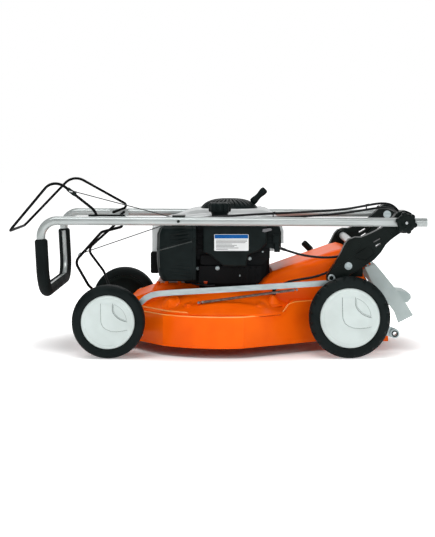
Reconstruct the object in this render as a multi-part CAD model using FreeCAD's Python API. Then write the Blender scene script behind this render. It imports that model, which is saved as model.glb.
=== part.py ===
"""Walk-behind petrol lawn mower with its handle folded forward.

Millimetres. +X points to the rear, -X to the front, -Y to the left side, +Z up.
The origin lies on the ground under the middle of the bounding box.
"""
import FreeCAD, Part
import math
import os

V = FreeCAD.Vector

# Wheels and their places
FRONT_R = 90.0
REAR_R = 100.0
BEAD_SHARE = 0.752
LUG_COUNT = 24
FRONT_X = -259.0
REAR_X = 332.3
WHEEL_IN = 205.0
WHEEL_OUT = 249.0
COVER_OUT = 250.0
AXLE_R = 6.0
RUN_GAP = 0.06

# Cranked axles: wheel centre and link pin, both measured from the crank's pivot
CRANK_TO_WHEEL = (-55.0, 25.0)
CRANK_TO_PIN = (-5.0, 50.0)
LINK_PIN_R = 4.0
ARM_IN = 184.0
ARM_OUT = 190.0
BRACKET_IN = 176.0
BRACKET_OUT = 180.0
BAR_IN = 194.0
BAR_OUT = 197.0
BAR_TALL = 14.0
ROD_END = 233.0
NUT_R = 9.0

# Rear lugs, bored for the pin of a trailing skirt
LUG_PLACE = (448.4, 53.8)
LUG_R = 11.5
LUG_BORE_R = 4.5

# Height spring and lever
SPRING_FRONT = (-35.0, -191.0, 131.0)
SPRING_REAR = (201.0, -190.8, 163.0)
LEVER_PIVOT = (300.0, 190.0)

# Deck
CRANK_X = 22.0
DECK_R = 242.0
DECK_FLOOR = 24.8
LEDGE_Z = 102.0
LEDGE_R = 234.0
ARC_END = 78.0
NECK_X = 262.0
FACET_R = 237.0
FACET_TURN = 40.0
HAUNCH_Z = 130.0
TOP_R = 150.0
TOP_Z = 155.0
TUNNEL_HALF = 124.0
TUNNEL_END = 440.0
SHEET = 2.5

# Cutter
BLADE_HALF = 220.0
SHAFT_R = 12.5

# Handle and its fold
PIVOT_X = 471.5
PIVOT_Z = 331.5
TUBE_Y = 205.0
TUBE_R = 11.0
TUBE_WALL = 1.5
TUBE_END_X = 525.8
BEND_X = -430.4
BEND_Z = 335.8
BEND_R = 40.0
LOOP_X = -420.5
LOOP_Z = 158.0
LOOP_R = 60.0
GRIP_R = 16.0
GRIP_TOP = 285.0
GRIP_SLOT_IN = 15.0
GRIP_SLOT_R = 8.0
BOLT_R = 4.0

# Consoles that carry the handle
CONSOLE_IN = 158.0
CONSOLE_OUT = 190.0
BOSS_OUT = 193.7
BOSS_R = 28.0
CARRY_X = 348.0
CARRY_Z = 274.0
CARRY_R = 10.0

# Bails
BAIL_R = 3.5
DRIVE_PIVOT_X = -288.0
STOP_PIVOT_X = -259.0
BAIL_PIVOT_Z = 335.8
DRIVE_LANE = 186.0
STOP_LANE = 178.0
DRIVE_WIRE_LANE = 178.0
STOP_WIRE_LANE = 170.0
DRIVE_HOOK = (-355.0, 408.0)
STOP_HOOK = (-335.0, 250.6)
CLIP_X = -88.0
CLIP_LONG = 31.0
DRIVE_MOUTH = (-104.0, 342.0)
STOP_MOUTH = (-104.0, 330.0)
CABLE_R = 2.5
CABLE_LANE = 183.5

# Rear flap
FLAP_X = 388.0
FLAP_Z = 219.0
FLAP_HALF = 150.0
FLAP_SHEET = 3.0
FLAP_PIN_R = 3.0

# Engine
ENGINE_Z = 156.0
SHROUD_TOP = 347.0
SHROUD_FRONT = -159.0
SHROUD_REAR = 175.0
SHROUD_HALF = 118.0
TANK_IN = -100.0
TANK_OUT = -165.0
TANK_TOP = 322.0
CAP_X = 13.0
CAP_Y = -130.0
CAP_R = 28.5
DOME_X = 36.0
DOME_R = 79.0


def box(x0, x1, y0, y1, z0, z1):
    """Box between two corners."""
    return Part.makeBox(x1 - x0, y1 - y0, z1 - z0, V(x0, y0, z0))


def rod(start, end, radius):
    """Round bar between two points."""
    a = V(*start)
    b = V(*end)
    return Part.makeCylinder(radius, (b - a).Length, a, b - a)


def across(place, radius, y0, y1):
    """Round bar parallel to Y at an (x, z) place."""
    return rod((place[0], y0, place[1]), (place[0], y1, place[1]), radius)


def upright(x, y, radius, z0, z1):
    """Round bar parallel to Z."""
    return rod((x, y, z0), (x, y, z1), radius)


def slab(outline, y0, y1):
    """Side outline of (x, z) points, thick along Y."""
    corners = [V(x, y0, z) for x, z in outline]
    face = Part.Face(Part.makePolygon(corners + corners[:1]))
    return face.extrude(V(0, y1 - y0, 0))


def turned(profile, centre, axis):
    """Solid of revolution of (radius, height) points about an axis direction."""
    corners = [V(r, 0, h) for r, h in profile]
    face = Part.Face(Part.makePolygon(corners + corners[:1]))
    solid = face.revolve(V(0, 0, 0), V(0, 0, 1), 360)
    turn = FreeCAD.Rotation(V(0, 0, 1), V(*axis))
    solid.Placement = FreeCAD.Placement(V(*centre), turn)
    return solid


def fuse(shapes):
    """One solid made of touching or crossing shapes."""
    first = shapes[0]
    if len(shapes) == 1:
        return first
    return first.multiFuse(shapes[1:]).removeSplitter()


def cut(shape, tools):
    """A shape with every tool taken away."""
    for tool in tools:
        shape = shape.cut(tool)
    return shape


def mirrored(shape):
    """The same shape on the other side of the mower."""
    return shape.mirror(V(0, 0, 0), V(0, 1, 0))


def group(shapes):
    """Separate solids kept in one node."""
    solids = []
    for shape in shapes:
        solids.extend(shape.Solids)
    return Part.makeCompound(solids)


def bent_path(points, radii):
    """Straight runs joined by tangent arcs; one radius for each inner point."""
    spots = [V(*p) for p in points]
    edges = []
    last = spots[0]
    for index in range(1, len(spots) - 1):
        corner = spots[index]
        back = (spots[index - 1] - corner).normalize()
        ahead = (spots[index + 1] - corner).normalize()
        half = back.getAngle(ahead) / 2
        reach = radii[index - 1] / math.tan(half)
        start = corner + back * reach
        end = corner + ahead * reach
        middle_way = (back + ahead).normalize()
        centre = corner + middle_way * (radii[index - 1] / math.sin(half))
        middle = centre - middle_way * radii[index - 1]
        edges.append(Part.LineSegment(last, start).toShape())
        edges.append(Part.Arc(start, middle, end).toShape())
        last = end
    edges.append(Part.LineSegment(last, spots[-1]).toShape())
    return Part.Wire(edges)


def tube_along(points, radii, radius):
    """Round bar swept along a bent path."""
    path = bent_path(points, radii)
    way = V(*points[1]) - V(*points[0])
    ring = Part.Wire([Part.makeCircle(radius, V(*points[0]), way)])
    return path.makePipeShell([ring], True, True)


def cable(points):
    """Cable with arcs as large as its runs allow."""
    radii = []
    for index in range(1, len(points) - 1):
        here = V(*points[index])
        back = V(*points[index - 1]) - here
        ahead = V(*points[index + 1]) - here
        half_turn = (math.pi - back.getAngle(ahead)) / 2
        shorter = min(back.Length, ahead.Length)
        radii.append(0.45 * shorter / math.tan(half_turn))
    print("cable radii", [round(r) for r in radii])
    return tube_along(points, radii, CABLE_R)


def strap(places, radii, y0, y1):
    """Flat link around several (x, z) places, each with its own end radius."""
    pieces = [across(p, r, y0, y1) for p, r in zip(places, radii)]
    for (p, rp), (q, rq) in zip(zip(places, radii), zip(places[1:], radii[1:])):
        dx = q[0] - p[0]
        dz = q[1] - p[1]
        length = math.hypot(dx, dz)
        side = (-dz / length, dx / length)
        outline = [(p[0] + side[0] * rp, p[1] + side[1] * rp),
                   (q[0] + side[0] * rq, q[1] + side[1] * rq),
                   (q[0] - side[0] * rq, q[1] - side[1] * rq),
                   (p[0] - side[0] * rp, p[1] - side[1] * rp)]
        pieces.append(slab(outline, y0, y1))
    return fuse(pieces)


def crank_place(wheel, offset):
    """Place of a crank's pivot plus an offset, from its wheel's centre."""
    return (wheel[0] - CRANK_TO_WHEEL[0] + offset[0],
            wheel[1] - CRANK_TO_WHEEL[1] + offset[1])


FRONT_WHEEL = (FRONT_X, FRONT_R)
REAR_WHEEL = (REAR_X, REAR_R)
FRONT_PIVOT = crank_place(FRONT_WHEEL, (0, 0))
REAR_PIVOT = crank_place(REAR_WHEEL, (0, 0))
FRONT_PIN = crank_place(FRONT_WHEEL, CRANK_TO_PIN)
REAR_PIN = crank_place(REAR_WHEEL, CRANK_TO_PIN)


# ---------------------------------------------------------------- deck

def chamber(inset, z0, z1):
    """Cutting chamber: a round front whose sides run straight into the tunnel."""
    radius = DECK_R - inset
    half = TUNNEL_HALF - inset
    angle = math.radians(ARC_END)
    x = CRANK_X + radius * math.cos(angle)
    y = radius * math.sin(angle)
    right = V(x, y, z0)
    left = V(x, -y, z0)
    neck_right = V(NECK_X, half, z0)
    neck_left = V(NECK_X, -half, z0)
    outline = Part.Wire([
        Part.Arc(right, V(CRANK_X - radius, 0, z0), left).toShape(),
        Part.LineSegment(left, neck_left).toShape(),
        Part.LineSegment(neck_left, neck_right).toShape(),
        Part.LineSegment(neck_right, right).toShape()])
    solid = Part.Face(outline).extrude(V(0, 0, z1 - z0))
    for turn in (FACET_TURN, -FACET_TURN):
        beyond = box(FACET_R - inset, DECK_R + 10, -120, 120, z0 - 1, z1 + 1)
        beyond.rotate(V(0, 0, 0), V(0, 0, 1), 180 + turn)
        beyond.translate(V(CRANK_X, 0, 0))
        solid = solid.cut(beyond)
    return solid


def tunnel_section(x, half, floor, top, shoulder):
    """Cross section of the rear tunnel with rounded shoulders."""
    flat = half - shoulder
    bend = shoulder * math.sqrt(0.5)
    left = Part.Arc(V(x, -half, top - shoulder),
                    V(x, -flat - bend, top - shoulder + bend), V(x, -flat, top))
    right = Part.Arc(V(x, flat, top), V(x, flat + bend, top - shoulder + bend),
                     V(x, half, top - shoulder))
    return Part.Wire([
        Part.LineSegment(V(x, -half, floor), V(x, -half, top - shoulder)).toShape(),
        left.toShape(),
        Part.LineSegment(V(x, -flat, top), V(x, flat, top)).toShape(),
        right.toShape(),
        Part.LineSegment(V(x, half, top - shoulder), V(x, half, floor)).toShape(),
        Part.LineSegment(V(x, half, floor), V(x, -half, floor)).toShape()])


def tunnel_form(inset, floor, rear):
    """Rear tunnel that rises behind the engine and drops to the flap."""
    ridge = [(CRANK_X, TOP_Z - 6), (106.0, 160.0), (124.0, 182.0), (146.0, 200.0),
             (200.0, 219.0), (258.0, 238.0), (300.0, 253.0), (324.0, 259.0),
             (342.0, 254.0), (358.0, 238.0), (374.0, 212.0)]
    if rear > TUNNEL_END:
        ridge.append((rear, 212.0))
    else:
        ridge.extend([(396.0, 176.0), (TUNNEL_END, 103.0)])
    shoulder = 26.0 - inset
    half = TUNNEL_HALF - inset
    rings = [tunnel_section(x, half, floor, z - inset, shoulder) for x, z in ridge]
    return Part.makeLoft(rings, True, True)


def deck_body(inset, floor, rear):
    """Outer form of the deck, made smaller by an inset for its hollow."""
    skirt = chamber(inset, floor, LEDGE_Z - inset)
    haunch_line = [(170 + inset, LEDGE_Z - 20), (170 + inset, LEDGE_Z - 6),
                   (192 + inset, HAUNCH_Z - inset), (NECK_X + 20, HAUNCH_Z - inset),
                   (NECK_X + 20, LEDGE_Z - 20)]
    haunch = chamber(inset, LEDGE_Z - 20, HAUNCH_Z + 10).common(
        slab(haunch_line, -DECK_R, DECK_R))
    crown = turned([(0, LEDGE_Z - inset - 1),
                    (LEDGE_R - inset, LEDGE_Z - inset - 1),
                    (LEDGE_R - inset, LEDGE_Z + 4 - inset),
                    (LEDGE_R - 20 - inset, LEDGE_Z + 14 - inset),
                    (TOP_R + 20 - inset, TOP_Z - 14 - inset),
                    (TOP_R - inset, TOP_Z - inset),
                    (0, TOP_Z - inset)], (CRANK_X, 0, 0), (0, 0, 1))
    tunnel = tunnel_form(inset, floor, rear)
    nose = slab([(-60.0, TOP_Z - 3 - inset), (-153.0, TOP_Z - 3 - inset),
                 (-212.0, 131.0 - inset), (-240.0 + inset, 105.0 - inset),
                 (-240.0 + inset, floor), (-60.0, floor)], -95 + inset, 95 - inset)
    return fuse([skirt, haunch, crown, tunnel, nose])


def flap_ears(side):
    """Ear of the tunnel's edge that holds the flap's pin."""
    outer = side * TUNNEL_HALF
    inner = side * (TUNNEL_HALF - 6)
    y0 = min(outer, inner)
    y1 = max(outer, inner)
    return strap([(366.0, 214.0), (FLAP_X, FLAP_Z)], [8.0, 8.0], y0, y1)


def deck_housing():
    """Pressed deck shell with its chute floor, flap ears and openings."""
    outer = deck_body(0, DECK_FLOOR, TUNNEL_END)
    hollow = deck_body(SHEET, DECK_FLOOR - 5, TUNNEL_END + 5)
    shell = outer.cut(hollow)
    floor_line = [(258.0, 104.0), (300.0, 138.0), (436.0, 148.0), (436.0, 150.5),
                  (299.0, 140.5), (256.0, 106.5)]
    chute_floor = slab(floor_line, -TUNNEL_HALF + 1, TUNNEL_HALF - 1)
    chute_floor = chute_floor.common(outer)
    shell = fuse([shell, chute_floor, flap_ears(-1), flap_ears(1)])
    slot = box(316, 345, -140, 140, DECK_FLOOR - 5, 112)
    crank_hole = upright(CRANK_X, 0, 30, 140, 160)
    pin = across((FLAP_X, FLAP_Z), FLAP_PIN_R, -140, 140)
    return cut(shell, [slot, crank_hole, pin])


DECK_SOLID = deck_body(0, DECK_FLOOR, TUNNEL_END)


# ---------------------------------------------------------------- consoles

def console_left():
    """Ribbed plastic console between the deck and the handle's fold."""
    outline = [(279, 186), (280, 200), (308, 241), (316, 256), (326, 278), (335, 288),
               (351, 293), (365, 293), (390, 303), (417, 317), (452, 350), (488, 350),
               (488, 313), (460, 303), (442, 290), (426, 275), (414, 256), (398, 238),
               (374, 222), (339, 201), (300, 178)]
    plate = slab(outline, -CONSOLE_OUT, -CONSOLE_IN)
    plate = plate.cut(box(440, 500, -CONSOLE_OUT - 1, -CONSOLE_IN + 1, 300, 360).cut(
        across((PIVOT_X, PIVOT_Z), BOSS_R + 14, -CONSOLE_OUT - 2, -CONSOLE_IN + 2)))
    recess = slab([(330, 240), (345, 280), (385, 284), (425, 305), (436, 300), (400, 262),
                   (372, 242)], -CONSOLE_OUT + 24, -CONSOLE_IN + 1)
    slots = [slab([(394, 283), (411, 293), (413, 289), (396, 279)], -200, -150),
             slab([(400, 272), (413, 280), (415, 276), (402, 268)], -200, -150)]
    pocket = slab([(350, 241), (354, 262), (392, 270), (399, 251), (377, 235)],
                  -CONSOLE_OUT - 1, -CONSOLE_OUT + 4)
    rib = slab([(287, 209), (385, 271), (386.5, 268.5), (288.5, 206.5)],
               -CONSOLE_OUT - 1.0, -CONSOLE_OUT + 1)
    boss = across((PIVOT_X, PIVOT_Z), BOSS_R, -BOSS_OUT, -CONSOLE_IN)
    collar = across((CARRY_X, CARRY_Z), CARRY_R + 5, -CONSOLE_IN, -CONSOLE_IN + 18)
    foot = box(322, 372, -CONSOLE_IN - 1, -TUNNEL_HALF, 192, 215)
    body = fuse([cut(plate, [recess, pocket] + slots), rib, boss, collar, foot])
    bolt = across((PIVOT_X, PIVOT_Z), BOLT_R, -210, -140)
    bar = across((CARRY_X, CARRY_Z), CARRY_R, -CONSOLE_IN, 0)
    return cut(body, [DECK_SOLID, bolt, bar])


def carry_bar():
    """Cross tube between the consoles."""
    return across((CARRY_X, CARRY_Z), CARRY_R, -CONSOLE_IN, CONSOLE_IN)


def washer_bolt(place, head_r, y_face, thick):
    """Bolt head on a washer, standing out of a left-hand face."""
    washer = across(place, head_r, -y_face - 1.2, -y_face)
    head = across(place, head_r * 0.62, -y_face - thick, -y_face - 1.2)
    return fuse([washer, head])


def chassis_bolts():
    """Bolts that hold the consoles, and the screw the height lever turns on."""
    left = [washer_bolt((291, 192), 9.5, CONSOLE_OUT, 3.4),
            washer_bolt((333, 222), 9.5, CONSOLE_OUT, 3.4)]
    lever_screw = fuse([across(LEVER_PIVOT, 4, CONSOLE_OUT, 195),
                        across(LEVER_PIVOT, 7, 195, 197)])
    right = [mirrored(s) for s in left]
    return group(left + right[1:] + [lever_screw])


def clamp_bolts():
    """Bolts through the consoles and tubes that the star knobs close on."""
    place = (PIVOT_X, PIVOT_Z)
    head = across(place, 10.5, -CONSOLE_IN, -CONSOLE_IN + 4)
    slot = box(PIVOT_X - 8, PIVOT_X + 8, -CONSOLE_IN + 2.5, -CONSOLE_IN + 5,
               PIVOT_Z - 1.2, PIVOT_Z + 1.2)
    shank = across(place, BOLT_R, -232, -CONSOLE_IN + 1)
    bolt = fuse([head, shank]).cut(slot)
    return group([bolt, mirrored(bolt)])


# ---------------------------------------------------------------- axle brackets

def front_bracket():
    """Plate that holds the front crank's pivot, welded to the deck by a web."""
    plate = slab([(-217, 54), (-204, 48), (-178, 48), (-178, 88), (-192, 92), (-217, 78)],
                 -BRACKET_OUT, -BRACKET_IN)
    web = box(-192, -188, -BRACKET_IN - 1, -90, 52, 86)
    pin = across(FRONT_PIVOT, AXLE_R, -ARM_OUT - 0.4, -BRACKET_IN)
    cap = across(FRONT_PIVOT, NUT_R, -ARM_OUT - 3, -ARM_OUT - 0.4)
    return fuse([plate, web, pin, cap]).cut(DECK_SOLID)


def rear_bracket():
    """Plate that holds the rear crank's pivot and reaches back to a bored lug."""
    plate = strap([REAR_PIVOT, LUG_PLACE], [14.0, LUG_R], -BRACKET_OUT, -BRACKET_IN)
    web = box(408, 412, -BRACKET_IN - 1, -TUNNEL_HALF, 52, 78)
    pin = across(REAR_PIVOT, AXLE_R, -ARM_OUT - 0.4, -BRACKET_IN)
    cap = across(REAR_PIVOT, NUT_R, -ARM_OUT - 3, -ARM_OUT - 0.4)
    lug = across(LUG_PLACE, LUG_R, -ARM_OUT, -BRACKET_IN)
    bore = across(LUG_PLACE, LUG_BORE_R, -ARM_OUT - 1, -BRACKET_IN + 1)
    return fuse([plate, web, pin, cap, lug]).cut(bore)


def axle_brackets():
    """Front and rear axle plates of both sides."""
    left = [front_bracket(), rear_bracket()]
    return group(left + [mirrored(s) for s in left])


def lug_rings():
    """Rubber rings on the outer faces of both rear lugs."""
    ring = across(LUG_PLACE, 8.0, -ARM_OUT - 2.5, -ARM_OUT)
    ring = ring.cut(across(LUG_PLACE, LUG_BORE_R + 1, -ARM_OUT - 3, -ARM_OUT + 1))
    return group([ring, mirrored(ring)])


# ---------------------------------------------------------------- running gear

def cranked_axle(wheel):
    """Cross rod with two crank arms; the left arm carries the link pin."""
    pivot = crank_place(wheel, (0, 0))
    pin = crank_place(wheel, CRANK_TO_PIN)
    cross = across(wheel, AXLE_R, -ROD_END, ROD_END)
    pieces = [cross]
    for side in (-1, 1):
        y0 = min(side * ARM_IN, side * ARM_OUT)
        y1 = y0 + ARM_OUT - ARM_IN
        pieces.append(strap([wheel, pivot, pin], [14.0, 13.0, 10.0], y0, y1))
        collar = sorted([side * ARM_OUT, side * (ARM_OUT + 7.6)])
        nut = sorted([side * ROD_END, side * (ROD_END + 4)])
        pieces.append(across(wheel, 10, collar[0], collar[1]))
        pieces.append(across(wheel, NUT_R, nut[0], nut[1]))
    pieces.append(across(pin, LINK_PIN_R, -BAR_OUT - 2.0, -ARM_OUT))
    hole = across(pivot, AXLE_R + RUN_GAP, -200, 200)
    return cut(fuse(pieces), [hole])


def drive_gearbox():
    """Gearbox on the rear axle."""
    case = box(302, 362, -34, 34, 74, 128)
    case = case.makeFillet(9.0, case.Edges)
    sleeve = across(REAR_WHEEL, 14, -60, 60)
    return fuse([case, sleeve]).cut(across(REAR_WHEEL, AXLE_R, -70, 70))


def link_bar():
    """Flat bar that joins the link pins of both cranked axles."""
    line = [FRONT_PIN, (-182, 132), (-170, 143), (-155, 150.5), (-138, 154), (-99, 157),
            (40, 165), (225, 177), (276, 180), (300, 172), REAR_PIN]
    half = BAR_TALL / 2
    bar = strap(line, [9.0] + [half] * (len(line) - 2) + [9.0], -BAR_OUT, -BAR_IN)
    holes = [across(p, LINK_PIN_R + RUN_GAP, -200, -190) for p in (FRONT_PIN, REAR_PIN)]
    screw = across((236, 178), 3.5, -BAR_OUT - 1.5, -BAR_OUT)
    return fuse([cut(bar, holes), screw])


def assist_spring():
    """Spring that helps to lift the deck."""
    return rod(SPRING_FRONT, SPRING_REAR, 2.6)


def height_lever():
    """Flat lever that turns on a screw in the right console."""
    strip = strap([LEVER_PIVOT, (262, 231)], [9.0, 6.0], 191.5, 194.5)
    return strip.cut(across(LEVER_PIVOT, 4 + RUN_GAP, 190, 196))


def height_knob():
    """Grip on the end of the height lever."""
    handle = turned([(0, -18), (6, -18), (9, -12), (9, 12), (7, 17), (0, 18)],
                    (253.5, 199, 239.5), (-1, 0, 1))
    return handle.cut(height_lever())


def wheel_parts(wheel, radius, side, lugs):
    """Tyre, rim and cover of one wheel; side is -1 on the left, 1 on the right."""
    bead = radius * BEAD_SHARE
    width = WHEEL_OUT - WHEEL_IN
    centre = (wheel[0], side * WHEEL_IN, wheel[1])
    axis = (0, side, 0)
    tyre = turned([(bead, 1), (radius - 8, 0), (radius - 2, 3), (radius, 9),
                   (radius, width - 9), (radius - 2, width - 3), (radius - 8, width),
                   (bead, width - 1)], centre, axis)
    if lugs:
        notches = []
        for step in range(LUG_COUNT):
            angle = 2 * math.pi * step / LUG_COUNT
            tool = box(-4, 4, -1, 11, radius - 3.5, radius + 5)
            tool = tool.fuse(box(-4, 4, width - 11, width + 1, radius - 3.5, radius + 5))
            tool.rotate(V(0, 0, 0), V(0, 1, 0), math.degrees(angle))
            if side < 0:
                tool = tool.mirror(V(0, 0, 0), V(0, 1, 0))
            tool.translate(V(centre[0], centre[1], centre[2]))
            notches.append(tool)
        tyre = tyre.cut(Part.makeCompound(notches))
    rim = turned([(AXLE_R + RUN_GAP, -7), (20, -7), (22, 10), (bead - 8, 14), (bead - 8, 2),
                  (bead, 2), (bead, width - 4), (bead - 6, width - 4), (bead - 6, 20),
                  (24, 20), (22, 30), (14, 30), (14, 27.8), (AXLE_R + RUN_GAP, 27.8)],
                 centre, axis)
    cover_r = bead - 0.4
    cover = turned([(0, 35), (16, 34), (cover_r - 7, width - 4), (cover_r, width - 3),
                    (cover_r, width - 1), (cover_r - 9, width + 1), (0, width + 1)],
                   centre, axis)
    return tyre, rim, cover.cut(rim)


# ---------------------------------------------------------------- cutter

def blade():
    """Flat bar with a raised wing behind each cutting edge."""
    half = BLADE_HALF
    bar = box(CRANK_X - half, CRANK_X + half, -25, 25, 40, 43)
    wing = slab([(CRANK_X + 150, 43), (CRANK_X + half, 43), (CRANK_X + half, 57),
                 (CRANK_X + half - 3, 57), (CRANK_X + half - 6, 46), (CRANK_X + 150, 46)],
                12, 25)
    other = wing.copy()
    other.rotate(V(CRANK_X, 0, 0), V(0, 0, 1), 180)
    hole = upright(CRANK_X, 0, 8, 30, 50)
    return fuse([bar, wing, other]).cut(hole)


def blade_adapter():
    """Crankshaft end, blade adapter and blade bolt."""
    shaft = upright(CRANK_X, 0, SHAFT_R, 60, 176)
    hub = upright(CRANK_X, 0, 24, 43, 64)
    bolt = upright(CRANK_X, 0, 8, 34, 44)
    head = upright(CRANK_X, 0, 14, 32, 40)
    return fuse([shaft, hub, bolt, head])


# ---------------------------------------------------------------- engine

def engine_block():
    """Crankcase, sump and finned cylinder, as one solid."""
    base = upright(CRANK_X, 0, 96, TOP_Z, 170)
    case = box(-78, 140, -92, 92, 168, 252)
    case = case.makeFillet(14.0, [e for e in case.Edges if abs(e.tangentAt(0).z) > 0.9])
    barrel = box(-146, -70, -56, 56, 184, 250)
    foot = box(100, 148, -88, 88, 170, 196)
    sump = slab([(-40, 172), (110, 172), (118, 182), (118, 216), (-40, 216)], -128, -90)
    bore = upright(CRANK_X, 0, SHAFT_R + RUN_GAP, 150, 178)
    fins = [box(-142 + 9 * n, -138 + 9 * n, -70, 70, 180, 249) for n in range(7)]
    return cut(fuse([base, case, barrel, foot, sump] + fins), [bore, DECK_SOLID])


def cylinder_head():
    """Head bolted to the front of the cylinder."""
    body = box(-168, -146, -44, 44, 189, 245)
    return body.makeFillet(5.0, [e for e in body.Edges if abs(e.tangentAt(0).y) > 0.9])


def blower_shroud():
    """Sheet shroud over the flywheel and cylinder."""
    def form(inset, floor):
        outline = [(SHROUD_FRONT + inset, floor), (SHROUD_FRONT + inset, 318),
                   (-128, 332 - inset), (-70, SHROUD_TOP - 4 - inset),
                   (-40, SHROUD_TOP - inset), (120, SHROUD_TOP - inset),
                   (148, SHROUD_TOP - 6 - inset), (166 - inset, 330 - inset),
                   (SHROUD_REAR - inset, 305), (SHROUD_REAR - inset, floor + 20),
                   (150, floor + 20), (150, floor)]
        solid = slab(outline, -SHROUD_HALF + inset, SHROUD_HALF - inset)
        rims = [e for e in solid.Edges if abs(abs(e.CenterOfMass.y) - SHROUD_HALF + inset)
                < 0.1 and e.CenterOfMass.z > 322]
        return solid.makeFillet(12.0, rims)

    shell = form(0, 253).cut(form(3, 246))
    opening = upright(DOME_X, 0, 60, 330, 360)
    window = box(SHROUD_FRONT - 2, SHROUD_FRONT + 8, -70, 70, 248, 300)
    return cut(shell, [opening, window])


def recoil_cover():
    """Slotted dome of the recoil starter with the seat of its grip."""
    dome = turned([(0, SHROUD_TOP), (DOME_R, SHROUD_TOP), (DOME_R - 2, SHROUD_TOP + 8),
                   (DOME_R - 11, SHROUD_TOP + 18), (DOME_R - 26, SHROUD_TOP + 28),
                   (DOME_R - 45, SHROUD_TOP + 34), (0, SHROUD_TOP + 36)],
                  (DOME_X, 0, 0), (0, 0, 1))
    slots = []
    for step in range(16):
        slot = box(40, 66, -2, 2, SHROUD_TOP + 12, SHROUD_TOP + 60)
        slot.rotate(V(0, 0, 0), V(0, 0, 1), 360 * step / 16 + 11)
        slot.translate(V(DOME_X, 0, 0))
        slots.append(slot)
    seat = upright(100, 0, 13, SHROUD_TOP, SHROUD_TOP + 17)
    dome = dome.cut(Part.makeCompound(slots))
    grip_way = rod((84, 0, 359), (120, 0, 395), 12)
    return cut(fuse([dome, seat]), [grip_way])


def air_filter_cover():
    """Cover on the engine's left front."""
    body = slab([(-144, 205), (-146, 262), (-145, 298), (-139, 313), (-126, 321),
                 (-47, 321), (-47, 180), (-130, 180)], -160, -96)
    rims = [e for e in body.Edges
            if abs(e.CenterOfMass.y + 160) < 0.1 and e.CenterOfMass.x < -60]
    body = body.makeFillet(8.0, rims)
    return cut(body, [blower_shroud_block(), engine_block()])


def blower_shroud_block():
    """Space that the shroud takes, for parts fitted against it."""
    return box(SHROUD_FRONT - 1, SHROUD_REAR + 1, -SHROUD_HALF, SHROUD_HALF, 252, 400)


def fuel_tank():
    """Tank on the engine's left side with its filler neck."""
    body = slab([(-28, TANK_TOP), (-28, 254), (-10, 246), (4, 234), (22, 219), (79, 217),
                 (85, 247), (113, 257), (131, 276), (131, TANK_TOP)], TANK_OUT, TANK_IN)
    rims = [e for e in body.Edges if abs(e.CenterOfMass.y - TANK_OUT) < 0.1]
    body = body.makeFillet(6.0, rims)
    neck = upright(CAP_X, CAP_Y, 17, TANK_TOP - 6, 352.7)
    return cut(fuse([body, neck]), [blower_shroud_block(), engine_block()])


def fuel_cap():
    """Lobed fuel cap."""
    body = upright(CAP_X, CAP_Y, CAP_R - 5, 353, 377)
    lobes = []
    for step in range(8):
        angle = 2 * math.pi * step / 8
        lobes.append(upright(CAP_X + (CAP_R - 7) * math.cos(angle),
                             CAP_Y + (CAP_R - 7) * math.sin(angle), 7, 355, 376))
    return fuse([body] + lobes)


def muffler_guard():
    """Slotted guard on the engine's right side."""
    body = box(-140, -20, 96, 158, 190, 300)
    body = body.makeFillet(8.0, [e for e in body.Edges if abs(e.CenterOfMass.y - 158) < 0.1])
    vents = [box(-125 + 20 * n, -115 + 20 * n, 150, 160, 205, 285) for n in range(5)]
    return cut(body, vents + [blower_shroud_block(), engine_block()])


def engine_screws():
    """Screw heads on the engine's left side."""
    heads = [across((-54, 200), 4.5, -96, -92), across((8, 198), 5, -132, -128),
             across((74, 229), 4, -168, -165), across((124, 236), 4, -96, -92)]
    return group(heads)


def control_bracket():
    """Bracket at the engine's rear with the block that anchors the stop cable."""
    plate = slab([(131.5, 262), (150, 258), (169, 262), (169, 300), (165, 316), (156, 325),
                  (131.5, 325)], -124, -119)
    block = box(150, 166, -134, -118.5, 251, 277)
    arm = box(146, 166, -130, -119, 272, 296)
    return cut(fuse([plate, arm, block]), [blower_shroud_block(), stop_cable_lower()])


GRIP_START = (96.0, 371.0)
GRIP_LONG = 51.0


def starter_grip():
    """Waisted grip of the recoil starter."""
    return turned([(0, 0), (8, 0), (10, 5), (9, 16), (7.5, 24), (10, 38), (9, 46),
                   (5, GRIP_LONG), (0, GRIP_LONG)],
                  (GRIP_START[0], 0, GRIP_START[1]), (1, 0, 1))


def starter_rope():
    """Short length of rope between the grip and its seat."""
    reach = 10 / math.sqrt(2)
    return rod((GRIP_START[0] - reach, 0, GRIP_START[1] - reach),
               (GRIP_START[0], 0, GRIP_START[1]), 2)


# ---------------------------------------------------------------- flap

def flap():
    """Rear flap with side cheeks, hinge barrel and lifting grip."""
    cheek_line = [(378.6, 213.7), (404.3, 223.3), (425, 199), (455.6, 160.7), (478, 130),
                  (499.8, 94.3), (462, 75), (452, 103), (395, 180)]
    plate_line = [(379, 213.5), (404.3, 223.3), (455.6, 160.7), (499.8, 94.3),
                  (497, 92.8), (453, 159), (403.4, 219.6), (380.2, 210.7)]
    plate = slab(plate_line, -FLAP_HALF, FLAP_HALF)
    cheeks = [slab(cheek_line, -FLAP_HALF, -FLAP_HALF + FLAP_SHEET),
              slab(cheek_line, FLAP_HALF - FLAP_SHEET, FLAP_HALF)]
    barrel = across((FLAP_X, FLAP_Z), 6, -116, 116)
    grip = slab([(464, 144), (494, 142), (508, 134), (509, 124), (500, 114), (486, 112)],
                -45, 45)
    hollow = slab([(472, 135), (494, 136), (502, 130), (500, 121), (484, 119)], -40, 40)
    notches = [box(374, 402, -125, -117, 205, 232), box(374, 402, 117, 125, 205, 232)]
    bore = across((FLAP_X, FLAP_Z), FLAP_PIN_R + RUN_GAP, -160, 160)
    body = fuse([plate] + cheeks + [barrel, grip.cut(hollow)])
    return cut(body, notches + [bore])


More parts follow.
